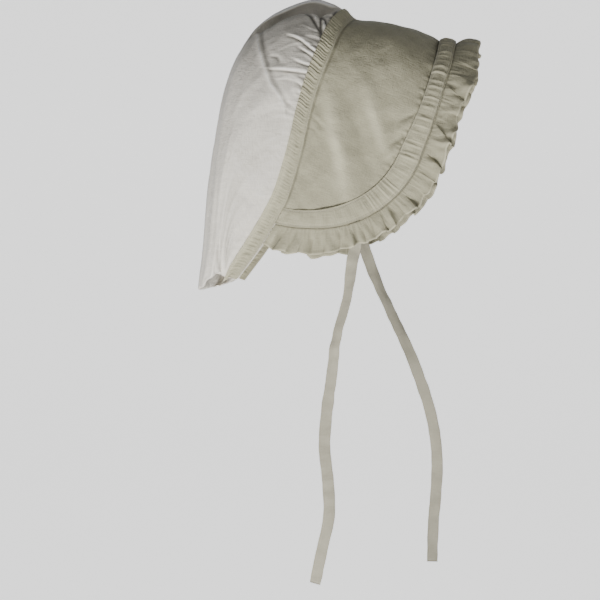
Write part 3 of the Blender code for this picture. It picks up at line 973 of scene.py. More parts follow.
@dataclass(frozen=True)
class CottonFinish:
    """A plain-woven cotton: its colour, its threads and slubs, and its soft crumple.

    The threads are read from each piece's own cloth map, which is in metres along them, or for
    cloth that is drawn into a bag from the upright direction. The crumple is the same all ways.
    A rate is in cycles a metre, and that of slubs and threads is given along and across a thread.
    """

    name: str
    slot: str
    colour: Colour
    shade: Colour
    roughness: float = 0.88
    sheen: float = 0.22
    sheen_roughness: float = 0.45
    specular: float = 0.25
    weave_depth: float = 0.00012
    slub_depth: float = 0.00022
    crumple_size: float = 0.007
    crumple_depth: float = 0.0007
    relief_strength: float = 0.9
    slub_rate: tuple[float, float] = (110, 800)
    weave_rate: tuple[float, float] = (300, 2300)
    blotch_rate: float = 30
    slub_tone: float = 0.50
    blotch_tone: float = 0.55
    tone_start: float = 0.28
    crease_shade: float = 0.34
    highlight_gain: float = 1.22
    palest: float = 0.96
    grain: Grain = Grain.CLOTH

    def material(self) -> bpy.types.Material:
        """The finish as a node material, made once and shared.

        Its relief is the sum of slubs, threads and crumple, each times its depth. Its colour goes
        from shade to colour with the slubs and a slow blotch, then takes painted shade where the
        crease attribute is above 0 and a painted highlight where it is below 0.

        Returns:
            The material.
        """
        found = bpy.data.materials.get(self.name)
        if found:
            return found
        made = bpy.data.materials.new(self.name)
        made.use_nodes = True
        tree = made.node_tree
        net = NodeNet(tree)
        shader = tree.nodes["Principled BSDF"]
        shader.inputs["Roughness"].default_value = self.roughness
        shader.inputs["Specular IOR Level"].default_value = self.specular
        shader.inputs["Sheen Weight"].default_value = self.sheen
        shader.inputs["Sheen Roughness"].default_value = self.sheen_roughness
        painted_light_attr = tree.nodes.new("ShaderNodeAttribute")
        painted_light_attr.attribute_name = "crease"
        crease = painted_light_attr.outputs["Fac"]
        here = tree.nodes.new("ShaderNodeTexCoord").outputs["Object"]
        slubs = self._threads(net, here, self.slub_rate, 2.0)
        threads = self._threads(net, here, self.weave_rate, 1.0)
        crumple = net.noise(here, (1 / self.crumple_size,) * 3, 4.0)
        blotch = net.noise(here, (self.blotch_rate,) * 3, 3.0)
        slub_height = net.math("MULTIPLY", slubs, self.slub_depth)
        weave_height = net.math("MULTIPLY", threads, self.weave_depth)
        height = net.math("ADD", slub_height, weave_height)
        height = net.math("ADD", height, net.math("MULTIPLY", crumple, self.crumple_depth))
        relief = tree.nodes.new("ShaderNodeBump")
        relief.inputs["Distance"].default_value = 1.0
        relief.inputs["Strength"].default_value = self.relief_strength
        tree.links.new(height, relief.inputs["Height"])
        tree.links.new(relief.outputs["Normal"], shader.inputs["Normal"])
        slub_share = net.math("MULTIPLY", slubs, self.slub_tone)
        uneven = net.math("ADD", slub_share, net.math("MULTIPLY", blotch, self.blotch_tone))
        uneven = net.math("SUBTRACT", uneven, self.tone_start, True)
        tone = net.blend(uneven, self.shade, self.colour)
        # Painted shade: where the crease attribute is above 0 the colour goes towards a darker copy of the
        # shade colour, standing in for the shade in creases and hollows.
        dark = tuple(self.crease_shade * c for c in self.shade)
        tone = net.blend(net.math("MULTIPLY", crease, 1.0, True), tone, dark)
        # Painted highlight: where the crease attribute is below 0 the colour goes paler, standing in for
        # light caught on fold edges and ridges.
        pale = tuple(min(self.palest, self.highlight_gain * c) for c in self.colour)
        tone = net.blend(net.math("MULTIPLY", crease, -1.0, True), tone, pale)
        tree.links.new(tone, shader.inputs["Base Color"])
        return made

    def _threads(self, net: NodeNet, here: Socket, rate: tuple[float, float], detail: float) -> Socket:
        """Long streaks along both thread directions, added up.

        Args:
            net: The material's nodes.
            here: The place on the body, which upright grain follows.
            rate: Cycles a metre along a thread and across it.
            detail: Detail of the noise.

        Returns:
            The sum of the two streaked noises, about 1 on average.
        """
        slow, quick = rate
        if self.grain is Grain.CLOTH:
            mapped = net.tree.nodes.new("ShaderNodeUVMap")
            mapped.uv_map = "cloth"
            place, rates = mapped.outputs["UV"], ((quick, slow, 1), (slow, quick, 1))
        else:
            place, rates = here, ((quick, quick, slow), (slow, slow, quick))
        warp, weft = (net.noise(place, streaked, detail) for streaked in rates)
        return net.math("ADD", warp, weft)


NATURAL = CottonFinish(
    "natural_cotton_cloth",
    "natural_cotton",
    (0.485, 0.457, 0.325),
    (0.29, 0.271, 0.184),
    slub_depth=0.00044,
    crumple_depth=0.0012,
)
SOFT = CottonFinish(
    "crown_cotton_cloth",
    "crown_cotton",
    (0.93, 0.885, 0.79),
    (0.69, 0.646, 0.560),
    slub_depth=0.00034,
    crumple_depth=0.0011,
    grain=Grain.UPRIGHT,
)
TAPE = CottonFinish(
    "tape_cotton_cloth", "tape_cotton", (0.45, 0.425, 0.33), (0.34, 0.315, 0.24), crumple_size=0.005
)
THREAD = CottonFinish(
    "sewing_thread",
    "natural_cotton",
    (0.50, 0.47, 0.38),
    (0.38, 0.35, 0.28),
    roughness=0.7,
    crumple_depth=0.0,
)


class ClothGrid(NamedTuple):
    """A cloth as a grid: its points in the upright frame, its places on the flat cloth, its creases.

    A crease is painted shade in a crease or hollow, 0 to 1, or a painted highlight on a fold's edge, to -1.
    """

    points: Array
    cloth_map: Array
    crease: Array


@dataclass(frozen=True)
class ClothMaker:
    """Turns grids of points into cloth objects that ride on the bonnet."""

    pattern: Pattern

    def sheet(self, name: str, grid: ClothGrid, finish: CottonFinish, thickness: float) -> bpy.types.Object:
        """A sheet of cloth with its cloth map, and its thickness from a Solidify modifier.

        Args:
            name: The object's name.
            grid: The cloth.
            finish: Its cotton.
            thickness: Its thickness in metres.

        Returns:
            The object.
        """
        points, cloth_map, crease = grid
        rows, columns = points.shape[:2]
        corner = np.arange(rows * columns).reshape(rows, columns)
        faces = np.stack([corner[:-1, :-1], corner[:-1, 1:], corner[1:, 1:], corner[1:, :-1]], axis=-1)
        faces = faces.reshape(-1, 4)
        world = self.pattern.world(points).reshape(-1, 3)
        a, b, c = world[faces[:, 0]], world[faces[:, 1]], world[faces[:, 2]]
        wanted = self.pattern.world(normals_of(points)).reshape(-1, 3)[faces[:, 0]]
        if (np.cross(b - a, c - b) * wanted).sum() < 0:
            faces = faces[:, ::-1]
        cloth = self.solid(name, world, faces, cloth_map.reshape(-1, 2), finish)
        # The crease values go on as a point attribute: painted shade above 0, painted highlight below 0.
        painted_light_attr = cloth.data.attributes.new("crease", "FLOAT", "POINT")
        painted_light_attr.data.foreach_set("value", np.clip(crease, -1, 1).astype(np.float32).reshape(-1))
        wall = cloth.modifiers.new("Cloth thickness", "SOLIDIFY")
        wall.thickness = thickness
        wall.offset = 0
        return cloth

    def solid(
        self, name: str, world: Array, faces: Array, cloth_map: Array, finish: CottonFinish
    ) -> bpy.types.Object:
        """An object from points and four-sided faces: smooth, dressed and riding on the root.

        Args:
            name: The object's name.
            world: Its points in the world frame.
            faces: The four points of each face.
            cloth_map: Each point's place on the flat cloth, in metres.
            finish: Its cotton.

        Returns:
            The object.
        """
        mesh = bpy.data.meshes.new(name)
        mesh.from_pydata(world.tolist(), [], faces.tolist())
        places = mesh.uv_layers.new(name="cloth")
        places.data.foreach_set("uv", cloth_map[faces.reshape(-1)].astype(np.float32).reshape(-1))
        mesh.materials.append(finish.material())
        mesh.shade_smooth()
        piece = bpy.data.objects.new(name, mesh)
        bpy.context.scene.collection.objects.link(piece)
        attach(piece, "root")
        LOG.info("%s: %d faces", name, len(faces))
        return piece


@dataclass(frozen=True)
class StitchRun:
    """A row of lock stitches: short thread capsules along a line that lies on a cloth.

    share is how much of the pitch a stitch takes, rise how far its middle stands up in threads,
    and bare how many of the grid's columns have no stitch at either end.
    """

    pitch: float = 0.0027
    share: float = 0.74
    thread: float = 0.00045
    rise: float = 0.30
    rings: int = 5
    around: int = 6
    bare: int = 6

    def along_rows(
        self, maker: ClothMaker, grid: ClothGrid, thickness: float, rows: dict[str, int]
    ) -> list[bpy.types.Object]:
        """Stitches along some of a cloth's rows, on its outer face.

        Args:
            maker: Makes the objects.
            grid: The cloth.
            thickness: The cloth's thickness.
            rows: The name of each run and the row that it follows.

        Returns:
            The runs, in the order of their names.
        """
        normals = normals_of(grid.points)
        inside = slice(self.bare, -self.bare)
        made = []
        for name, row in rows.items():
            outer = grid.points[row] + normals[row] * thickness / 2
            made.append(self.build(maker, name, outer[inside], normals[row, inside]))
        return made

    def build(self, maker: ClothMaker, name: str, line: Array, normals: Array) -> bpy.types.Object:
        """Capsules at even steps along the line: round sections that are thinner at both ends.

        Args:
            maker: Makes the object.
            name: Its name.
            line: Points of the upright frame along the row.
            normals: The cloth's outward normals there.

        Returns:
            The row of stitches as one object.
        """
        steps = run_lengths(line)
        count = int(steps[-1] / self.pitch)
        middles = (np.arange(count) + 0.5) * self.pitch
        half = self.pitch * self.share / 2
        rings, around = self.rings, self.around
        t = np.linspace(-1, 1, rings)
        thick = np.sqrt(np.clip(1 - np.abs(t) ** 3, 0.02, 1))
        places = middles[:, None] + half * t
        centre = np.stack([np.interp(places, steps, line[:, k]) for k in range(3)], axis=-1)
        out = np.stack([np.interp(places, steps, normals[:, k]) for k in range(3)], axis=-1)
        out /= np.linalg.norm(out, axis=-1, keepdims=True)
        tangent = centre[:, -1:] - centre[:, :1]
        tangent = tangent / np.linalg.norm(tangent, axis=-1, keepdims=True)
        side = np.cross(tangent, out)
        angle = np.linspace(0, 2 * math.pi, around, endpoint=False)
        radius = self.thread / 2 * thick[None, :, None, None]
        lift = out * (self.thread * self.rise * (1 - t**4))[None, :, None]
        points = (centre + lift)[:, :, None] + radius * (
            np.cos(angle)[:, None] * side[:, :, None] + np.sin(angle)[:, None] * out[:, :, None]
        )
        ids = np.arange(count * rings * around).reshape(count, rings, around)
        nxt = np.roll(ids, -1, axis=2)
        tube = np.stack([ids[:, :-1], nxt[:, :-1], nxt[:, 1:], ids[:, 1:]], axis=-1).reshape(-1, 4)
        first, last = ids[:, 0], ids[:, -1]
        caps = np.concatenate(
            [first[:, [3, 2, 1, 0]], first[:, [5, 4, 3, 0]], last[:, [0, 1, 2, 3]], last[:, [0, 3, 4, 5]]]
        )
        world = maker.pattern.world(points.reshape(-1, 3))
        round_it = np.tile(angle, count * rings) * 1e-4
        cloth_map = np.stack([np.repeat(places.reshape(-1), around), round_it], axis=-1)
        return maker.solid(name, world, np.concatenate([tube, caps]), cloth_map, THREAD)


@dataclass(frozen=True)
class GatherSpray:
    """Gathers that leave a seam: seeded ridges, each with its own place, length, width and lean.

    width, length and height are the least and the most in metres. longer is how much longer a
    long_share of them are, and widening how much a ridge widens towards its end.
    """

    lay: Lay
    pitch: float
    width: tuple[float, float]
    length: tuple[float, float]
    height: tuple[float, float]
    lean: float
    seed: int
    long_share: float = 0.2
    longer: float = 1.5
    widening: float = 0.8

    def lift(self, along: Array, away: Array, half_length: float) -> Array:
        """Height of the gathers: a bell across each ridge, times a taper along it.

        Args:
            along: Signed distance along the seam, in metres.
            away: Distance from the seam, in metres.
            half_length: How far the gathers reach either way along the seam.

        Returns:
            The height at each point.
        """
        rng = np.random.default_rng(self.seed)
        count = int(2 * half_length / self.pitch)
        spread = self.pitch * self.lay.value
        places = np.linspace(-half_length, half_length, count) + spread * rng.standard_normal(count)
        widths = rng.uniform(*self.width, count)
        lengths = rng.uniform(*self.length, count)
        lengths = lengths * np.where(rng.random(count) < self.long_share, self.longer, 1.0)
        heights = rng.uniform(*self.height, count)
        leans = self.lean * rng.standard_normal(count)
        total = np.zeros(np.broadcast(along, away).shape)
        for place, width, length, height, lean in zip(places, widths, lengths, heights, leans):
            taper = np.sqrt(np.clip(1 - away / length, 0, 1))
            middle = place + lean * away
            total += height * taper * bump(along - middle, width * (1 + self.widening * away / length))
        return total


@dataclass(frozen=True)
class Crown:
    """The soft crown: hoops of fine cotton with a standing top fold, gathers and a nape hem.

    A ridge keeps its full height up to the first of ridge_fade past its columns, and is gone at
    the second. One that ends before seam_fall runs into the seam. Grooves deeper than dark_groove
    get a line of painted shade, and ridges taller than pale_ridge and narrower than pale_width get
    a painted highlight, pale_line wide.
    """

    maker: ClothMaker
    rows: int = 110
    columns: int = 448
    top_fold_height: float = 0.014
    side_fold_height: float = 0.0045
    side_hem_lift: float = 0.014
    slow_drape: float = 0.0007
    quick_drape: float = 0.00012
    crease_depth: float = 0.0013
    painted_crest_shade: float = 0.42
    ridge_fade: tuple[float, float] = (0.07, 0.14)
    seam_fall: float = 0.03
    sharp_width: float = 0.006
    dark_groove: float = 0.0024
    pale_ridge: float = 0.0015
    pale_width: float = 0.003
    pale_line: float = 0.0009
    gathers: GatherSpray = GatherSpray(
        Lay.LOOSE, 0.0048, (0.0009, 0.0017), (0.012, 0.036), (0.0007, 0.0018), 0.12, 11
    )
    nape_gathers: GatherSpray = GatherSpray(
        Lay.LOOSE, 0.0130, (0.0026, 0.0044), (0.012, 0.028), (0.0001, 0.0004), 0.06, 12
    )

    def shares(self) -> Array:
        """Columns, closer together where the folds of the top are."""
        return spaced(CROWN_COLUMNS, self.columns, 4001)

    def falls(self) -> Array:
        """Rows, closer together over the gathered part next to the seam."""
        return spaced(CROWN_ROWS, self.rows, 2001)

    def surface(self) -> ClothGrid:
        """The crown's folded cloth: lifts along the normals, then the top fold and the nape's lift.

        Returns:
            The cloth, mapped by its distances across from the top and away from the seam.
        """
        pattern = self.maker.pattern
        shares = self.shares()
        falls = self.falls()
        points = self._sunk(pattern.crown_sheet(falls, shares), falls, shares)
        widths = np.linalg.norm(np.diff(points, axis=1), axis=-1)
        across = np.concatenate([np.zeros((len(falls), 1)), np.cumsum(widths, axis=1)], axis=1)
        across -= across[:, [int(np.abs(shares).argmin())]]
        along = np.broadcast_to(shares * pattern.seam_half_length, points.shape[:2])
        steps = np.linalg.norm(np.diff(points, axis=0), axis=-1)
        away = np.concatenate([np.zeros((1, len(shares))), np.cumsum(steps, axis=0)])
        from_seam = np.linalg.norm(points - points[:1], axis=-1)
        clear = eased(from_seam, 0.7 * pattern.strip_width, 1.5 * pattern.strip_width)
        early = eased(from_seam, 0.30 * pattern.strip_width, 0.80 * pattern.strip_width)
        lift = self._side_folds(shares, from_seam, clear)
        ridges, drawn = self._ridges(points, shares, falls, early)
        lift += ridges
        lift += self._gathers(along, from_seam, falls, shares, early)
        lift += self._drape(across, away, clear)
        points = pushed_out(points, lift)
        points = self._top_fold(points, shares, falls, clear)
        lifted = through(column(SIDE_HEM, "fall"), column(SIDE_HEM, "lift"), falls)[:, None]
        points[..., 2] += self.side_hem_lift * lifted * eased(-shares, 0.86, 0.975)
        upper = (1 - eased(falls, 0.26, 0.40))[:, None]
        # Painted shade in the folds' hollows, by how far each point lies below its neighbours.
        creases = 0.70 * cavity(lift, 7, 9, self.crease_depth) * early * (0.15 + 0.85 * upper) + drawn
        creases = self._painted_crest_light(creases, shares, falls, clear)
        return ClothGrid(points, np.stack([across, away], axis=-1), creases)

    def _painted_crest_light(self, creases: Array, shares: Array, falls: Array, clear: Array) -> Array:
        """Painted light on the top fold: painted shade in its hollow and beyond it, a painted highlight on
        its rim. Each is a bell across that fades down the crown, and the whole crest gets a little painted
        shade.

        Args:
            creases: The painted shade and highlight so far.
            shares: Share of each column.
            falls: Fall of each row.
            clear: How far each point is clear of the strip, from 0 to 1.

        Returns:
            The painted shade and highlight with the crest's added.
        """
        # Painted shade in the fold's hollow and beyond its rim, a painted highlight on the rim, and painted
        # shade over the upper crest.
        hollow = bump(shares + 0.100, 0.026) * clear * (1 - eased(falls, 0.20, 0.29))[:, None]
        rim = bump(shares + 0.031, 0.0050) * clear * (1 - eased(falls, 0.24, 0.30))[:, None]
        beyond = bump(shares - 0.010, 0.030) * clear * (1 - eased(falls, 0.18, 0.30))[:, None] * (1 - rim)
        crest = (1 - eased(np.abs(shares), 0.30, 0.58)) * (1 - eased(falls, 0.16, 0.44))[:, None]
        return creases + self.painted_crest_shade * crest * (1 - rim) + 0.55 * hollow + 0.55 * beyond - 0.9 * rim

    @staticmethod
    def _sunk(points: Array, falls: Array, shares: Array) -> Array:
        """The cloth drawn towards the middle plane at each soft spot, by a bell in share and fall.

        Args:
            points: The crown's grid, which is changed.
            falls: Fall of each row.
            shares: Share of each column.

        Returns:
            The same grid.
        """
        for spot in SOFT_SPOTS:
            near = bump(shares - spot.across, spot.width) * bump(falls - spot.fall, spot.length)[:, None]
            points[..., 1] -= math.copysign(spot.depth, spot.across) * near
        return points

    def _side_folds(self, shares: Array, from_seam: Array, clear: Array) -> Array:
        """Soft folds that leave the strip: a bell across each, fading with its reach.

        Args:
            shares: Share of each column.
            from_seam: Each point's distance from the seam.
            clear: How far each point is clear of the strip, from 0 to 1.

        Returns:
            The height they add.
        """
        lift = np.zeros_like(from_seam)
        for fold in SIDE_FOLDS:
            reach = np.clip(1 - from_seam / (fold.reach * self.maker.pattern.crown_depth), 0, 1)
            middle = fold.place - fold.drift * (1 - reach)
            share = 0.25 if fold.place < 0 else 0.6
            height = share * self.side_fold_height * fold.height
            lift += height * bump(shares - middle, fold.width) * clear * np.sqrt(reach)
        return lift

    def _ridges(self, points: Array, shares: Array, falls: Array, early: Array) -> tuple[Array, Array]:
        """The named ridges and grooves: a bell across each line with a dip beside it.

        Args:
            points: The crown's grid.
            shares: Share of each column.
            falls: Fall of each row.
            early: How far each point is clear of the strip, from 0 to 1.

        Returns:
            The height they add, and the painted light they draw: painted shade in deep grooves and a painted
            highlight along sharp ridges.
        """
        normals = normals_of(points)
        lift = np.zeros(points.shape[:2])
        drawn = np.zeros(points.shape[:2])
        for ridge in RIGHT_RIDGES + LEFT_RIDGES:
            at = np.array(ridge.points)
            columns = np.interp(at[:, 0], shares, np.arange(len(shares)))
            rows = np.interp(at[:, 1], falls, np.arange(len(falls)))
            line = self._smooth_line(points, rows, columns)
            # Only columns near the line are worked on, and the ridge fades before the last of them.
            aside = np.abs(shares - (at[:, 0].min() + at[:, 0].max()) / 2) - np.ptp(at[:, 0]) / 2
            near = aside < self.ridge_fade[1]
            distance, along, away = line_distance(points[:, near], line)
            taper = self._taper(along, bool(at[-1, 1] < self.seam_fall))
            taper = taper * (1 - eased(aside[near], *self.ridge_fade))
            run = np.broadcast_to(line[-1] - line[0], away.shape)
            hand = np.sign(np.einsum("ijk,ijk->ij", np.cross(normals[:, near], away), run))
            hollow_side = hand * ridge.hollow < 0
            sharp = ridge.hollow != 0 and ridge.width < self.sharp_width
            wide = ridge.width * np.where(hollow_side, 1.5 if sharp else 1.0, 3.5 if sharp else 1.0)
            body = ridge.height * np.exp(-((distance / wide) ** 1.15))
            beside = -abs(ridge.hollow) * bump(distance - 2.2 * ridge.width, 1.5 * ridge.width)
            beside = np.where(hollow_side, beside, 0) * eased(distance, 0, 1.5 * ridge.width)
            lift[:, near] += taper * (body + beside)
            # Painted shade along deep grooves, and a painted highlight along tall narrow ridges.
            if ridge.height < -self.dark_groove:
                drawn[:, near] += 1.1 * taper * bump(distance, 0.9 * ridge.width)
            elif ridge.height > self.pale_ridge and ridge.width < self.pale_width:
                drawn[:, near] -= 0.5 * taper * bump(distance, self.pale_line)
        return lift * early, np.clip(drawn, -0.6, 1) * early

    @staticmethod
    def _taper(along: Array, at_seam: bool) -> Array:
        """Height along a ridge: the root of a half sine, or of a quarter for one that meets the seam.

        Args:
            along: Places along the ridge, as shares of its length.
            at_seam: Whether its last point is at the seam.

        Returns:
            Its height at each place, from 0 to 1.
        """
        if at_seam:
            turn = math.pi / 2 * np.minimum(1, 1.6 * along + 0.06)
        else:
            turn = math.pi * np.clip(0.06 + 0.88 * along, 0, 1)
        return np.sqrt(np.clip(np.sin(turn), 0, 1))

    @staticmethod
    def _smooth_line(points: Array, rows: Array, columns: Array) -> Array:
        """A fine line on the surface through grid places, by a smooth curve in row and column.

        Args:
            points: The crown's grid.
            rows: Row of each place, with its fraction.
            columns: Column of each place, with its fraction.

        Returns:
            Points of the line, five for each place.
        """
        at = np.linspace(0, 1, len(rows))
        fine = np.linspace(0, 1, 5 * len(rows))
        r, c = through(at, rows, fine), through(at, columns, fine)
        r0, c0 = np.floor(r).astype(int), np.floor(c).astype(int)
        r0, c0 = np.clip(r0, 0, points.shape[0] - 2), np.clip(c0, 0, points.shape[1] - 2)
        fr, fc = (r - r0)[:, None], (c - c0)[:, None]
        upper = points[r0, c0] * (1 - fc) + points[r0, c0 + 1] * fc
        lower = points[r0 + 1, c0] * (1 - fc) + points[r0 + 1, c0 + 1] * fc
        return upper * (1 - fr) + lower * fr

    def _gathers(self, along: Array, from_seam: Array, falls: Array, shares: Array, early: Array) -> Array:
        """Fine gathers under the strip, weaker low down, and slight ones above the nape hem.

        Args:
            along: Distance along the seam.
            from_seam: Each point's distance from the seam.
            falls: Fall of each row.
            shares: Share of each column.
            early: How far each point is clear of the strip, from 0 to 1.

        Returns:
            The height they add.
        """
        low = eased(np.abs(shares), 0.40, 0.54)
        strong = 1 - 0.80 * low - 0.2 * low * eased(from_seam, 0.020, 0.040)
        half = self.maker.pattern.seam_half_length
        lift = self.gathers.lift(along, np.maximum(from_seam - 0.006, 0), half) * early * strong
        to_hem = (1 - falls[:, None]) * 0.34
        near_hem = eased(falls, 0.75, 0.95)[:, None]
        hem = self.nape_gathers.lift(along, to_hem, half) * (1 - shares**4) * near_hem
        return lift + hem * eased(from_seam, 0.010, 0.030)

    def _drape(self, along: Array, away: Array, clear: Array) -> Array:
        """Slow, uneven swells of soft cloth, at two sizes.

        Args:
            along: Distance across the cloth.
            away: Distance down the cloth.
            clear: How far each point is clear of the strip, from 0 to 1.

        Returns:
            The height they add.
        """
        slow = self.slow_drape * soft_noise(along, away, 0.075, 21)
        quick = self.quick_drape * soft_noise(along, away, 0.020, 22)
        return (slow + quick) * clear

    def _top_fold(self, points: Array, shares: Array, falls: Array, clear: Array) -> Array:
        """The S-shaped standing fold over the crest: cloth moved aside and down by its table.

        Args:
            points: The crown's grid, which is changed.
            shares: Share of each column.
            falls: Fall of each row.
            clear: How far each point is clear of the strip, from 0 to 1.

        Returns:
            The same grid.
        """
        standing = clear * (1 - eased(falls, 0.20, 0.34))[:, None] * self.top_fold_height
        across = column(TOP_FOLD, "across")
        inside = (shares > across[0]) & (shares < across[-1])
        points[..., 1] += standing * inside * through(across, column(TOP_FOLD, "aside"), shares)
        points[..., 2] -= standing * inside * through(across, column(TOP_FOLD, "lower"), shares)
        return points

    def build(self) -> bpy.types.Object:
        """The crown as a sheet of gathered cloth.

        Returns:
            The crown.
        """
        crown = self.maker.sheet("soft_crown", self.surface(), SOFT, self.maker.pattern.crown_cloth)
        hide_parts("crown")
        return crown


@dataclass(frozen=True)
class GatherStrip:
    """The narrow strip stitched over the crown's gathers, ribbed across its rear part."""

    maker: ClothMaker
    columns: int = 1440
    rows: int = 22
    end_lift: float = 0.0010
    rounding: float = 0.0007
    groove_depth: float = 0.0006
    groove_inset: float = 0.0014
    slack_swell: float = 0.00025
    crease_depth: float = 0.0009
    ribs: GatherSpray = GatherSpray(
        Lay.FINE, 0.0033, (0.0007, 0.0011), (0.030, 0.050), (0.0008, 0.0014), 0.02, 31
    )

    def _laid(self, shares: Array, places: Array) -> Array:
        """Rows from the brim's edge back over the crown, each at its distance along both.

        Args:
            shares: Share of each column.
            places: Distance of each row from the strip's front edge.

        Returns:
            Points of the upright frame, on the middle of the cloths below.
        """
        pattern = self.maker.pattern
        on_brim = pattern.brim_sheet(np.zeros_like(shares), shares * pattern.seam_half_length)
        falls = np.linspace(0, 1, 81)
        crown = pattern.crown_sheet(falls, shares)
        steps = np.linalg.norm(np.diff(crown, axis=0), axis=-1)
        from_edge = np.vstack([np.zeros_like(shares), np.cumsum(steps, axis=0)])
        over = pattern.strip_over_brim + pattern.joint_gap
        rows = []
        for place in places:
            if place <= over:
                rows.append(on_brim + (crown[0] - on_brim) * place / over)
                continue
            after = np.clip((from_edge < place - over).sum(axis=0), 1, len(falls) - 1)
            pick = np.arange(len(shares))
            low, high = from_edge[after - 1, pick], from_edge[after, pick]
            t = ((place - over - low) / (high - low))[:, None]
            rows.append(crown[after - 1, pick] * (1 - t) + crown[after, pick] * t)
        return np.array(rows)

    def surface(self) -> ClothGrid:
        """The strip lifted off the cloths below, with a front groove and ribs that slacken low down.

        Returns:
            The cloth, mapped by its distances along and back from its front edge.
        """
        pattern = self.maker.pattern
        shares = np.linspace(-1, 1, self.columns + 1)
        places = np.linspace(0, pattern.strip_width + pattern.joint_gap, self.rows + 1)
        points = self._laid(shares, places)
        along = np.broadcast_to(shares * pattern.seam_half_length, points.shape[:2])
        away = np.broadcast_to(places[:, None], points.shape[:2])
        base = pattern.brim_cloth / 2 + pattern.gap + pattern.strip_cloth / 2 + self.end_lift * shares**8
        back = eased(away, 0.0020, 0.0060)
        low = eased(np.abs(shares), 0.50, 0.66) * eased(away, 0.0080, 0.0150)
        ribs = self.ribs.lift(along, np.zeros_like(away), pattern.seam_half_length)
        slack = 0.35 + 0.65 * (1 - eased(np.abs(shares), 0.42, 0.55)) + 0.15 * eased(np.abs(shares), 0.8, 0.9)
        body = self.rounding * np.sin(math.pi * np.clip(away / places[-1], 0, 1)) ** 0.7
        groove = -self.groove_depth * bump(away - self.groove_inset, 0.0005)
        swell = self.slack_swell * soft_noise(along, away, 0.012, 32)
        lift = groove + ribs * back * slack + swell * back
        points = pushed_out(points, base - 0.0005 * low + body * (1 - low) + lift * (1 - 0.7 * low))
        # Painted shade between the ribs; the lower rear part, and a little the whole strip, are drawn paler.
        crease = 0.40 * cavity(lift, 3, 11, self.crease_depth) * (1 - low) - 0.60 * low - 0.15
        return ClothGrid(points, np.stack([along, away + 0.5], axis=-1), crease)

    def build(self) -> bpy.types.Object:
        """The strip and its two rows of stitches.

        Returns:
            The strip.
        """
        cloth = self.maker.pattern.strip_cloth
        grid = self.surface()
        strip = self.maker.sheet("ribbed_strip", grid, NATURAL, cloth)
        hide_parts("gather_strip")
        runs = {"strip_stitches_front": 2, "strip_stitches_back": self.rows - 3}
        rows = StitchRun().along_rows(self.maker, grid, cloth, runs)
        return strip


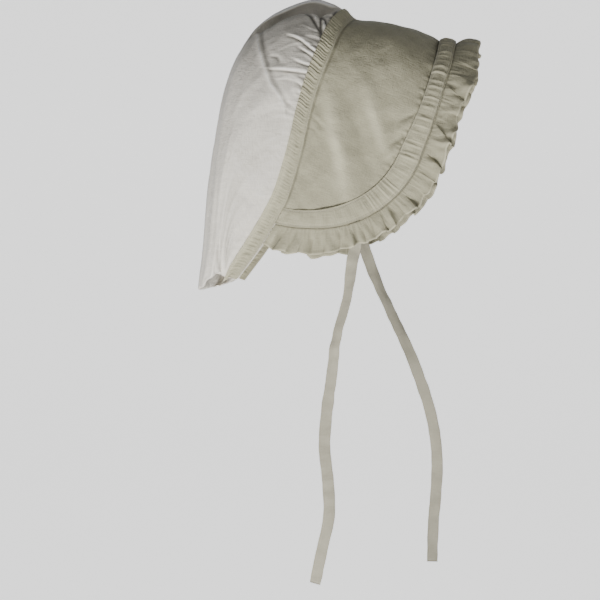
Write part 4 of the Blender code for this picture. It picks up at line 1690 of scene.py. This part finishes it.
@dataclass(frozen=True)
class Brim:
    """The stiffened brim: one firm curved panel with soft dents and a few fine drag lines."""

    maker: ClothMaker
    columns: int = 440
    rows: int = 96
    quick_crumple: float = 0.00024
    slow_crumple: float = 0.00040
    seam_dent: float = 0.0012
    seam_draw: float = 0.0006
    seam_ripple: float = 0.0005
    corner_rise: float = 0.0003
    highlight_start: float = 0.0010
    highlight_rate: float = 260
    crease_depth: float = 0.0008

    def surface(self) -> ClothGrid:
        """Rows from under the strip to under the band, pushed out by its drag lines and crumple.

        Along the band's seam the cloth is dented and a little drawn in, and low down it is flush,
        with a painted highlight along its edge.

        Returns:
            The cloth, mapped by its distances along the seam and forward from it.
        """
        pattern = self.maker.pattern
        shares = np.linspace(-1, 1, self.columns + 1)
        reach = pattern.brim_depth + pattern.band_width
        edge_forward, edge_along = pattern.edge_line(np.array([[reach]]), shares[None, :])
        seam_along = shares * (pattern.corner_start + reach - pattern.brim_corner_blunt)
        at_band = pattern.brim_depth / reach
        row = np.interp(
            np.linspace(0, 1, self.rows), (0, 0.62, 0.94, 1), (0, at_band - 0.05, at_band + 0.02, 1)
        )[:, None]
        forward = np.vstack([np.full_like(shares, -pattern.strip_over_brim), edge_forward * row])
        along = np.vstack([seam_along, seam_along + (edge_along - seam_along) * row])
        points = pattern.brim_sheet(forward, along)
        lift, ridge_highlight = self._dragged(forward, along)
        reached = reach * np.vstack([np.zeros((1, 1)), row])
        places = column(EDGE_LINES, "along")
        trims = (through(places, column(EDGE_LINES, name), np.abs(shares)) for name in ("brim", "root"))
        band_edge, root_edge = (pattern.band_width * trim for trim in trims)
        to_seam = reached - reach * (pattern.brim_depth + band_edge) / (reach + root_edge)
        upper = 1 - 0.92 * eased(np.abs(shares), 0.56, 0.74)
        seam = bump(to_seam + 0.0004, 0.0011) * upper
        drawn = bump(to_seam, 0.0060) * upper
        ripple = self.seam_ripple * soft_noise(along, 0 * along, 0.007, 43) * drawn
        flush = eased(to_seam, -0.0120, -0.0030) * eased(np.abs(shares), 0.52, 0.68)
        # Painted highlight along the flush lower seam.
        folded = bump(to_seam + 0.0012, 0.0012) * eased(np.abs(shares), 0.60, 0.76)
        lift = lift - self.seam_dent * seam - self.seam_draw * drawn + ripple + self.corner_rise * flush
        # Painted shade under the strip's edge, in the crumple's hollows and on the seam's dent; the tallest
        # drag lines get a painted highlight.
        tucked = bump(forward - 0.0012, 0.0011)
        crumpled = 0.5 * cavity(lift, 5, 9, self.crease_depth) * (to_seam < -0.003)
        crease = 0.95 * seam + 0.55 * tucked + crumpled - ridge_highlight - 0.8 * folded
        return ClothGrid(pushed_out(points, lift), np.stack([along, forward], axis=-1), crease)

    def _dragged(self, forward: Array, along: Array) -> tuple[Array, Array]:
        """Even crumple at two sizes, and the drag lines: a bell across each times a sine along it.

        Args:
            forward: Each point's distance in front of the seam.
            along: Its distance along it.

        Returns:
            The height they add, and the painted highlight on the tallest lines.
        """
        lift = self.quick_crumple * soft_noise(along, forward, 0.022, 41)
        lift = lift + self.slow_crumple * soft_noise(along, forward, 0.055, 44)
        ridge_highlight = np.zeros_like(along)
        length = self.maker.pattern.seam_half_length
        flat = np.stack([forward, along, np.zeros_like(along)], axis=-1)
        for drag in DRAG_LINES:
            ends = np.array([[ahead, share * length, 0] for ahead, share in (drag.start, drag.end)])
            distance, at, _ = line_distance(flat, ends)
            ridge = bump(distance, drag.width) * np.sin(math.pi * np.clip(0.1 + 0.85 * at, 0, 1))
            lift += drag.height * ridge
            # Painted highlight along the tallest drag lines.
            ridge_highlight += self.highlight_rate * max(drag.height - self.highlight_start, 0) * ridge
        return lift, ridge_highlight

    def build(self) -> bpy.types.Object:
        """The brim as a sheet of firm cloth.

        Returns:
            The brim.
        """
        brim = self.maker.sheet("firm_brim", self.surface(), NATURAL, self.maker.pattern.brim_cloth)
        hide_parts("brim")
        return brim


@dataclass(frozen=True)
class BrimBand:
    """The band over the frill's root: a lofted strip with turned edges, cross gathers and stitches."""

    maker: ClothMaker
    columns: int = 1300
    rows: int = 20
    loft: float = 0.0022
    stitch_inset: float = 0.0019
    stitch_pull: float = 0.0007
    swell: float = 0.0003
    crease_depth: float = 0.0007
    gathers: GatherSpray = GatherSpray(
        Lay.LOOSE, 0.0056, (0.0009, 0.0017), (0.060, 0.090), (0.0004, 0.0011), 0.04, 51
    )

    def surface(self) -> ClothGrid:
        """The band's cloth: a rounded rise at each turned edge, with gathers that die out low down.

        Returns:
            The cloth, mapped by its distances along its middle and out from its inner edge.
        """
        pattern = self.maker.pattern
        shares = np.linspace(-1, 1, self.columns + 1)
        row = (1 - np.cos(np.linspace(0, math.pi, self.rows + 1))) / 2
        row = 0.45 * row + 0.55 * np.linspace(0, 1, self.rows + 1)
        reaches = (pattern.brim_depth + pattern.band_width * row)[:, None]
        middle = pattern.brim_depth + pattern.band_width / 2
        flat = pattern.edge_strip(reaches, pattern.square_shares(reaches, shares[None, :], middle))
        length = pattern.corner_start + middle * math.pi / 2
        along = np.broadcast_to(shares * length, flat.shape[:2])
        away = np.broadcast_to(row[:, None] * pattern.band_width, flat.shape[:2])
        gathered = 0.12 + 0.88 * (1 - eased(np.abs(shares), 0.66, 0.80))
        swell = self.gathers.lift(along, np.abs(away - pattern.band_width / 2), length) * gathered
        ends = np.clip(np.sin(math.pi * row), 0, 1)[:, None]
        edges = ends**0.45
        lift = pattern.brim_cloth / 2 + pattern.gap + pattern.band_cloth / 2
        loft = self.loft * (0.55 * edges + 0.45 * ends) * (1 - 0.55 * eased(np.abs(shares), 0.62, 0.82))
        inner = bump(away - self.stitch_inset, 0.0006)
        outer = bump(away - pattern.band_width + self.stitch_inset, 0.0006)
        stitched = -self.stitch_pull * (inner + outer)
        soft = self.swell * soft_noise(along, away, 0.014, 52) * edges
        fine = stitched * edges + swell * edges + soft
        points = pushed_out(flat, lift + loft + fine)
        # Painted shade in the gathers' hollows and along the outer edge where the frill starts; the gathered
        # part is drawn a little paler.
        outer_edge = bump(away - pattern.band_width, 0.0009)
        crease = 0.6 * cavity(fine, 3, 11, self.crease_depth) + 0.5 * outer_edge - 0.2 * gathered
        return ClothGrid(points, np.stack([along, away + 1.0], axis=-1), crease)

    def build(self) -> bpy.types.Object:
        """The band and the stitches along both its edges.

        Returns:
            The band.
        """
        cloth = self.maker.pattern.band_cloth
        grid = self.surface()
        band = self.maker.sheet("gathered_band", grid, NATURAL, cloth)
        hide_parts("brim_band")
        runs = {"band_stitches_inner": 3, "band_stitches_outer": self.rows - 3}
        rows = StitchRun().along_rows(self.maker, grid, cloth, runs)
        return band


@dataclass(frozen=True)
class Frill:
    """The gathered frill: knife pleats that open towards a narrow hem, on slow waves."""

    maker: ClothMaker
    columns: int = 1900
    rows: int = 24
    flare: float = 0.012
    crest_draw: float = 0.003
    fold_over: float = 1.25
    pleat_lift: float = 0.0026
    valley: float = 0.0024
    wave: float = 0.0022
    ripple: float = 0.0011
    edge_ripple: float = 0.0011
    hem_fold: float = 0.0004
    crease_depth: float = 0.0016
    cloth_share: float = 0.8
    root_gathers: GatherSpray = GatherSpray(
        Lay.FINE, 0.0042, (0.0007, 0.0012), (0.010, 0.022), (0.0004, 0.0010), 0.12, 64
    )

    def pleats(self) -> list[Pleat]:
        """The measured pleats of the right side, and seeded ones with the same spacing on the left.

        Returns:
            All pleats, the right side's first.
        """
        rng = np.random.default_rng(61)
        made = list(RIGHT_PLEATS)
        place = 0.012
        while place < 0.985:
            made.append(
                Pleat(
                    place,
                    float(rng.uniform(0.6, 1.25)),
                    float(rng.uniform(0.0028, 0.0040)),
                    float(rng.choice([-1, 1])),
                    float(rng.uniform(-0.2, 0.5)),
                )
            )
            place += float(rng.uniform(0.026, 0.055))
        return made

    def surface(self) -> ClothGrid:
        """The frill's cloth. Each pleat shifts the cloth along the edge and lifts one side of it.

        With q the distance from a pleat in its widths, the cloth moves along by -q exp(-q^2), which
        folds it over where the pleat is strong, and out by -lean q exp(-(q/1.6)^2) less a valley
        exp(-(q/2)^2). All of it grows with the distance from the root.

        Returns:
            The cloth, mapped by its distances along its middle, with the fullness, and from its root.
        """
        pattern = self.maker.pattern
        shares = np.linspace(-1, 1, self.columns + 1)[None, :]
        row = np.linspace(0, 1, self.rows + 1)[:, None]
        root = pattern.brim_depth + pattern.band_width + 2 * pattern.gap
        reach = root + (pattern.full_reach - root) * row
        middle = (root + pattern.full_reach) / 2
        length = pattern.corner_start + middle * math.pi / 2
        along = shares * length
        grown, lifted = row**0.75, row**0.9
        shift = np.zeros(np.broadcast(along, row).shape)
        lift = np.zeros_like(shift)
        for pleat in self.pleats():
            q = (along - pleat.slant * pattern.frill_width * (row - 0.5) - pleat.place * length) / pleat.width
            shift -= self.fold_over * pleat.strength * pleat.width * q * np.exp(-(q**2))
            lift -= self.pleat_lift * pleat.strength * pleat.lean * q * bump(q, 1.6)
            lift -= self.valley * pleat.strength * bump(q, 2.0)
        ends = 1 - np.abs(shares) ** 40
        shift *= grown * ends
        waves = self.wave * soft_noise(along, 0 * along, 0.034, 62)
        waves = waves + self.ripple * soft_noise(along, row * 0.01, 0.012, 63)
        roots = self.root_gathers.lift(along, row * pattern.frill_width, length)
        roots = roots * np.sin(math.pi * np.clip(row * 0.9 + 0.1, 0, 1))
        crest = 1 - eased(np.abs(shares), 0, 0.30)
        edge = self.edge_ripple * soft_noise(along, 0 * along, 0.022, 65) * row
        moved = np.clip(shares + shift / length, -1, 1)
        flat = pattern.edge_strip(reach + edge, pattern.square_shares(reach, moved, middle))
        flat[..., 0] -= self.crest_draw * crest * row
        base = pattern.edge_strip(reach, pattern.square_shares(reach, shares + 0 * row, middle))
        normals = normals_of(base)
        hem = self.hem_fold * eased(row, 0.90, 0.93)
        rise = crest * (1 - (1 - row) ** 2.2 - 0.30 * row**8) + 0.4 * (1 - crest) * row**1.2
        out = self.flare * rise + (lift + waves * (1 - 0.5 * crest)) * lifted + 0.8 * roots + hem
        points = flat + normals * out[..., None]
        # Painted shade in the pleats' hollows and at the root under the band, and a painted highlight along
        # the hem.
        crease = 0.9 * cavity(out, 3, 17, self.crease_depth) + 0.55 * bump(row, 0.05)
        crease = crease - 0.5 * eased(row, 0.92, 0.94)
        cloth_map = np.stack(np.broadcast_arrays(along * 1.5, row * pattern.frill_width + 1.5), axis=-1)
        return ClothGrid(points, cloth_map, crease)

    def build(self) -> bpy.types.Object:
        """The frill as a sheet of gathered cloth.

        Returns:
            The frill.
        """
        cloth = self.maker.pattern.frill_cloth * self.cloth_share
        frill = self.maker.sheet("pleated_frill", self.surface(), NATURAL, cloth)
        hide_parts("frill")
        return frill


@dataclass(frozen=True)
class TieTape:
    """A flat sewn tie: a folded tape, stitched near one edge, that hangs from inside the brim."""

    maker: ClothMaker
    side: Side
    route: tuple[TiePoint, ...]
    width: float = 0.0127
    cloth: float = 0.0012
    sewn_forward: float = 0.074
    sewn_drop: float = 0.206
    tie_gap: float = 0.0008
    end_rounding: float = 0.0012
    stitch_pull: float = 0.00028
    stitch_place: float = 0.36
    ripple: float = 0.00035
    curl: float = 0.0006
    edge_waver: float = 0.018
    rings: int = 240
    around: int = 24

    def start(self) -> Array:
        """Where the tie is sewn inside the brim.

        Returns:
            The place in the world frame.
        """
        pattern = self.maker.pattern
        along = self.side.value * (pattern.seam_half_length - (pattern.seam_drop - self.sewn_drop))
        seat = pattern.brim_sheet(np.array([self.sewn_forward]), np.array([along]))[0]
        seat[1] -= self.side.value * (pattern.brim_cloth / 2 + self.tie_gap + self.cloth / 2)
        return pattern.world(seat)

    def line(self) -> tuple[Array, Array]:
        """The tie's middle line: a smooth curve through its route.

        Returns:
            Its points in the world frame, and the tape's twist at each in radians.
        """
        at = np.linspace(0, 1, len(self.route))
        fine = np.linspace(0, 1, self.rings)
        names = ("forward", "left", "up")
        line = np.stack([through(at, column(self.route, name), fine) for name in names], -1)
        return self.start() + line, np.radians(through(at, column(self.route, "twist"), fine))

    def build(self) -> bpy.types.Object:
        """A closed tube with a flat section carried along the line: round edges, a stitched crease.

        Returns:
            The tie.
        """
        line, twist = self.line()
        tangent = np.gradient(line, axis=0)
        tangent /= np.linalg.norm(tangent, axis=1, keepdims=True)
        flat = np.cross(tangent, (0.0, 1.0, 0.0))
        flat /= np.linalg.norm(flat, axis=1, keepdims=True)
        turned = flat * np.cos(twist)[:, None] + np.cross(tangent, flat) * np.sin(twist)[:, None]
        face = np.cross(tangent, turned)
        steps = run_lengths(line)
        angle = np.linspace(0, 2 * math.pi, self.around, endpoint=False)
        across = signed_power(np.cos(angle), 0.55) * self.width / 2
        through_cloth = signed_power(np.sin(angle), 0.5) * self.cloth / 2
        to_end = np.minimum(steps, steps[-1] - steps)
        closing = np.sqrt(np.clip(to_end / self.end_rounding, 0.0, 1))[:, None]
        stitched = bump(across + self.stitch_place * self.width, 0.0007)
        crease = -self.stitch_pull * stitched * np.sign(through_cloth)
        ripple = self.ripple * soft_noise(steps[:, None], across[None, :], 0.020, 70 + self.side.value)
        curl = self.curl * np.sin(steps * 38 + self.side.value)[:, None] * (across / self.width * 2) ** 2
        edge = 1 + self.edge_waver * soft_noise(steps[:, None], 0 * steps[:, None], 0.016, 75)
        offset = (through_cloth + crease) * closing + (ripple + curl) * closing
        points = line[:, None] + turned[:, None] * (across * edge)[..., None]
        points = points + face[:, None] * offset[..., None]
        ids = np.arange(self.rings * self.around).reshape(self.rings, self.around)
        nxt = np.roll(ids, -1, axis=1)
        tube = np.stack([ids[:-1], nxt[:-1], nxt[1:], ids[1:]], axis=-1).reshape(-1, 4)
        half = self.around // 2
        near, far = ids[:, : half + 1], np.concatenate([ids[:, :1], ids[:, half:][:, ::-1]], axis=1)
        caps = [
            np.stack([far[end, :-1], far[end, 1:], near[end, 1:], near[end, :-1]], axis=-1)[:, ::turn]
            for end, turn in ((0, 1), (-1, -1))
        ]
        caps = [cap[(np.diff(np.sort(cap, axis=1), axis=1) > 0).all(axis=1)] for cap in caps]
        faces = np.concatenate([tube, *caps])
        places = np.broadcast_arrays(across[None, :] + 2.0, steps[:, None])
        cloth_map = np.stack(places, axis=-1).reshape(-1, 2)
        name = f"tie_tape_{self.side.name.lower()}"
        tie = self.maker.solid(name, points.reshape(-1, 3), faces, cloth_map, TAPE)
        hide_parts(f"tie_{self.side.name.lower()}")
        return tie


class SoftLight(NamedTuple):
    """A square lamp: its place and size in metres, its power in watts and its spread in radians."""

    name: str
    place: tuple[float, float, float]
    size: float
    power: float
    spread: float


SOFT_LIGHTS = (
    SoftLight("key_light", (-0.45, -1.35, -1.40), 0.80, 9.6, 1.3),
    SoftLight("fill_light", (1.4, -2.3, -0.4), 1.4, 0.22, 0.9),
)


class BowlPoint(NamedTuple):
    """A point of the backdrop's profile: its distance from the middle and its height, in metres."""

    radius: float
    height: float


BACKDROP = (
    BowlPoint(0.5, 0.00),
    BowlPoint(2.0, 0.00),
    BowlPoint(6.5, 0.00),
    BowlPoint(7.4, 0.10),
    BowlPoint(8.1, 0.35),
    BowlPoint(8.6, 0.75),
    BowlPoint(8.9, 1.30),
    BowlPoint(9.0, 2.00),
    BowlPoint(9.0, 4.00),
    BowlPoint(9.0, 7.00),
)


@dataclass(frozen=True)
class Studio:
    """A pale seamless floor and backdrop, soft lights and the camera.

    The key light is low in front and a little to the left. The paper glows round the place behind
    the bonnet, brightly within glow_near of it and faintly past glow_far.
    """

    target: tuple[float, float, float] = (-0.0594, 0.0, -0.3028)
    azimuth: float = math.radians(2.5)
    distance: float = 3.5
    view_width: float = 0.66
    floor_drop: float = -1.65
    sensor: float = 36
    lit_place: tuple[float, float, float] = (-0.03, 0, -0.15)
    paper: Colour = (0.86, 0.86, 0.85)
    glow_place: tuple[float, float, float] = (-0.45, 9.0, -0.3)
    glow_near: float = 1.7
    glow_far: float = 5.5
    glow_most: float = 1.15
    glow_least: float = 0.20
    surround: Colour = (0.9, 0.93, 1.0)
    surround_strength: float = 0.115

    def camera(self) -> bpy.types.Object:
        """A long lens level with the bonnet's side, turned a little towards its front.

        Returns:
            The camera.
        """
        lens = bpy.data.cameras.new("camera")
        lens.sensor_width = self.sensor
        lens.lens = self.sensor * self.distance / self.view_width
        camera = bpy.data.objects.new("camera", lens)
        back = Vector((math.sin(self.azimuth), -math.cos(self.azimuth), 0))
        camera.location = Vector(self.target) + back * self.distance
        camera.rotation_euler = (-back).to_track_quat("-Z", "Y").to_euler()
        bpy.context.scene.collection.objects.link(camera)
        bpy.context.scene.camera = camera
        return camera

    def backdrop(self) -> bpy.types.Object:
        """A floor that curves up all round into a wall: the bowl's profile turned about its middle.

        Returns:
            The floor.
        """
        radius, height = column(BACKDROP, "radius")[:, None], column(BACKDROP, "height")[:, None]
        angle = np.linspace(0, 2 * math.pi, 64, endpoint=False)
        places = (radius * np.cos(angle), radius * np.sin(angle), height + self.floor_drop)
        points = np.stack(np.broadcast_arrays(*places), axis=-1).reshape(-1, 3)
        ids = np.arange(len(points)).reshape(-1, len(angle))
        nxt = np.roll(ids, -1, axis=1)
        rings = np.stack([ids[:-1], ids[1:], nxt[1:], nxt[:-1]], axis=-1).reshape(-1, 4)
        mesh = bpy.data.meshes.new("pale_floor")
        mesh.from_pydata(points.tolist(), [], rings.tolist() + [ids[0].tolist()])
        mesh.shade_smooth()
        mesh.materials.append(self.glowing_paper())
        floor = bpy.data.objects.new("pale_floor", mesh)
        bpy.context.scene.collection.objects.link(floor)
        return floor

    def glowing_paper(self) -> bpy.types.Material:
        """Pale matt paper whose glow falls off smoothly with the distance from one place.

        Returns:
            The material.
        """
        paper = bpy.data.materials.new("pale_paper")
        paper.use_nodes = True
        tree = paper.node_tree
        shader = tree.nodes["Principled BSDF"]
        shader.inputs["Base Color"].default_value = (*self.paper, 1)
        shader.inputs["Roughness"].default_value = 0.9
        shader.inputs["Emission Color"].default_value = (1, 1, 1, 1)
        here = tree.nodes.new("ShaderNodeTexCoord")
        away = tree.nodes.new("ShaderNodeVectorMath")
        away.operation = "DISTANCE"
        away.inputs[1].default_value = self.glow_place
        glow = tree.nodes.new("ShaderNodeMapRange")
        glow.interpolation_type = "SMOOTHSTEP"
        glow.inputs["From Min"].default_value = self.glow_near
        glow.inputs["From Max"].default_value = self.glow_far
        glow.inputs["To Min"].default_value = self.glow_most
        glow.inputs["To Max"].default_value = self.glow_least
        tree.links.new(here.outputs["Object"], away.inputs[0])
        tree.links.new(away.outputs["Value"], glow.inputs["Value"])
        tree.links.new(glow.outputs["Result"], shader.inputs["Emission Strength"])
        return paper

    def light(self, soft: SoftLight) -> bpy.types.Object:
        """A square soft light that faces the bonnet.

        Args:
            soft: Its sizes and place.

        Returns:
            The light.
        """
        lamp = bpy.data.lights.new(soft.name, "AREA")
        lamp.size = soft.size
        lamp.energy = soft.power
        lamp.spread = soft.spread
        made = bpy.data.objects.new(soft.name, lamp)
        made.location = soft.place
        facing = Vector(self.lit_place) - Vector(soft.place)
        made.rotation_euler = facing.to_track_quat("-Z", "Y").to_euler()
        bpy.context.scene.collection.objects.link(made)
        return made

    def build(self) -> None:
        """The floor, the lights and an even pale surround."""
        self.backdrop()
        for soft in SOFT_LIGHTS:
            self.light(soft)
        world = bpy.data.worlds.new("pale_room")
        world.use_nodes = True
        background = world.node_tree.nodes["Background"]
        background.inputs["Color"].default_value = (*self.surround, 1)
        background.inputs["Strength"].default_value = self.surround_strength
        bpy.context.scene.world = world


def main() -> None:
    """Builds the camera and the ties, then the bonnet's cloths, then the studio."""
    logging.basicConfig(level=logging.INFO, format="%(name)s: %(message)s")
    studio = Studio()
    studio.camera()
    maker = ClothMaker(Pattern())
    for side, route in ((Side.RIGHT, RIGHT_TIE), (Side.LEFT, LEFT_TIE)):
        TieTape(maker, side, route).build()
    for piece in (Crown(maker), GatherStrip(maker), Brim(maker), BrimBand(maker), Frill(maker)):
        piece.build()
    studio.build()


if __name__ == "__main__":
    main()
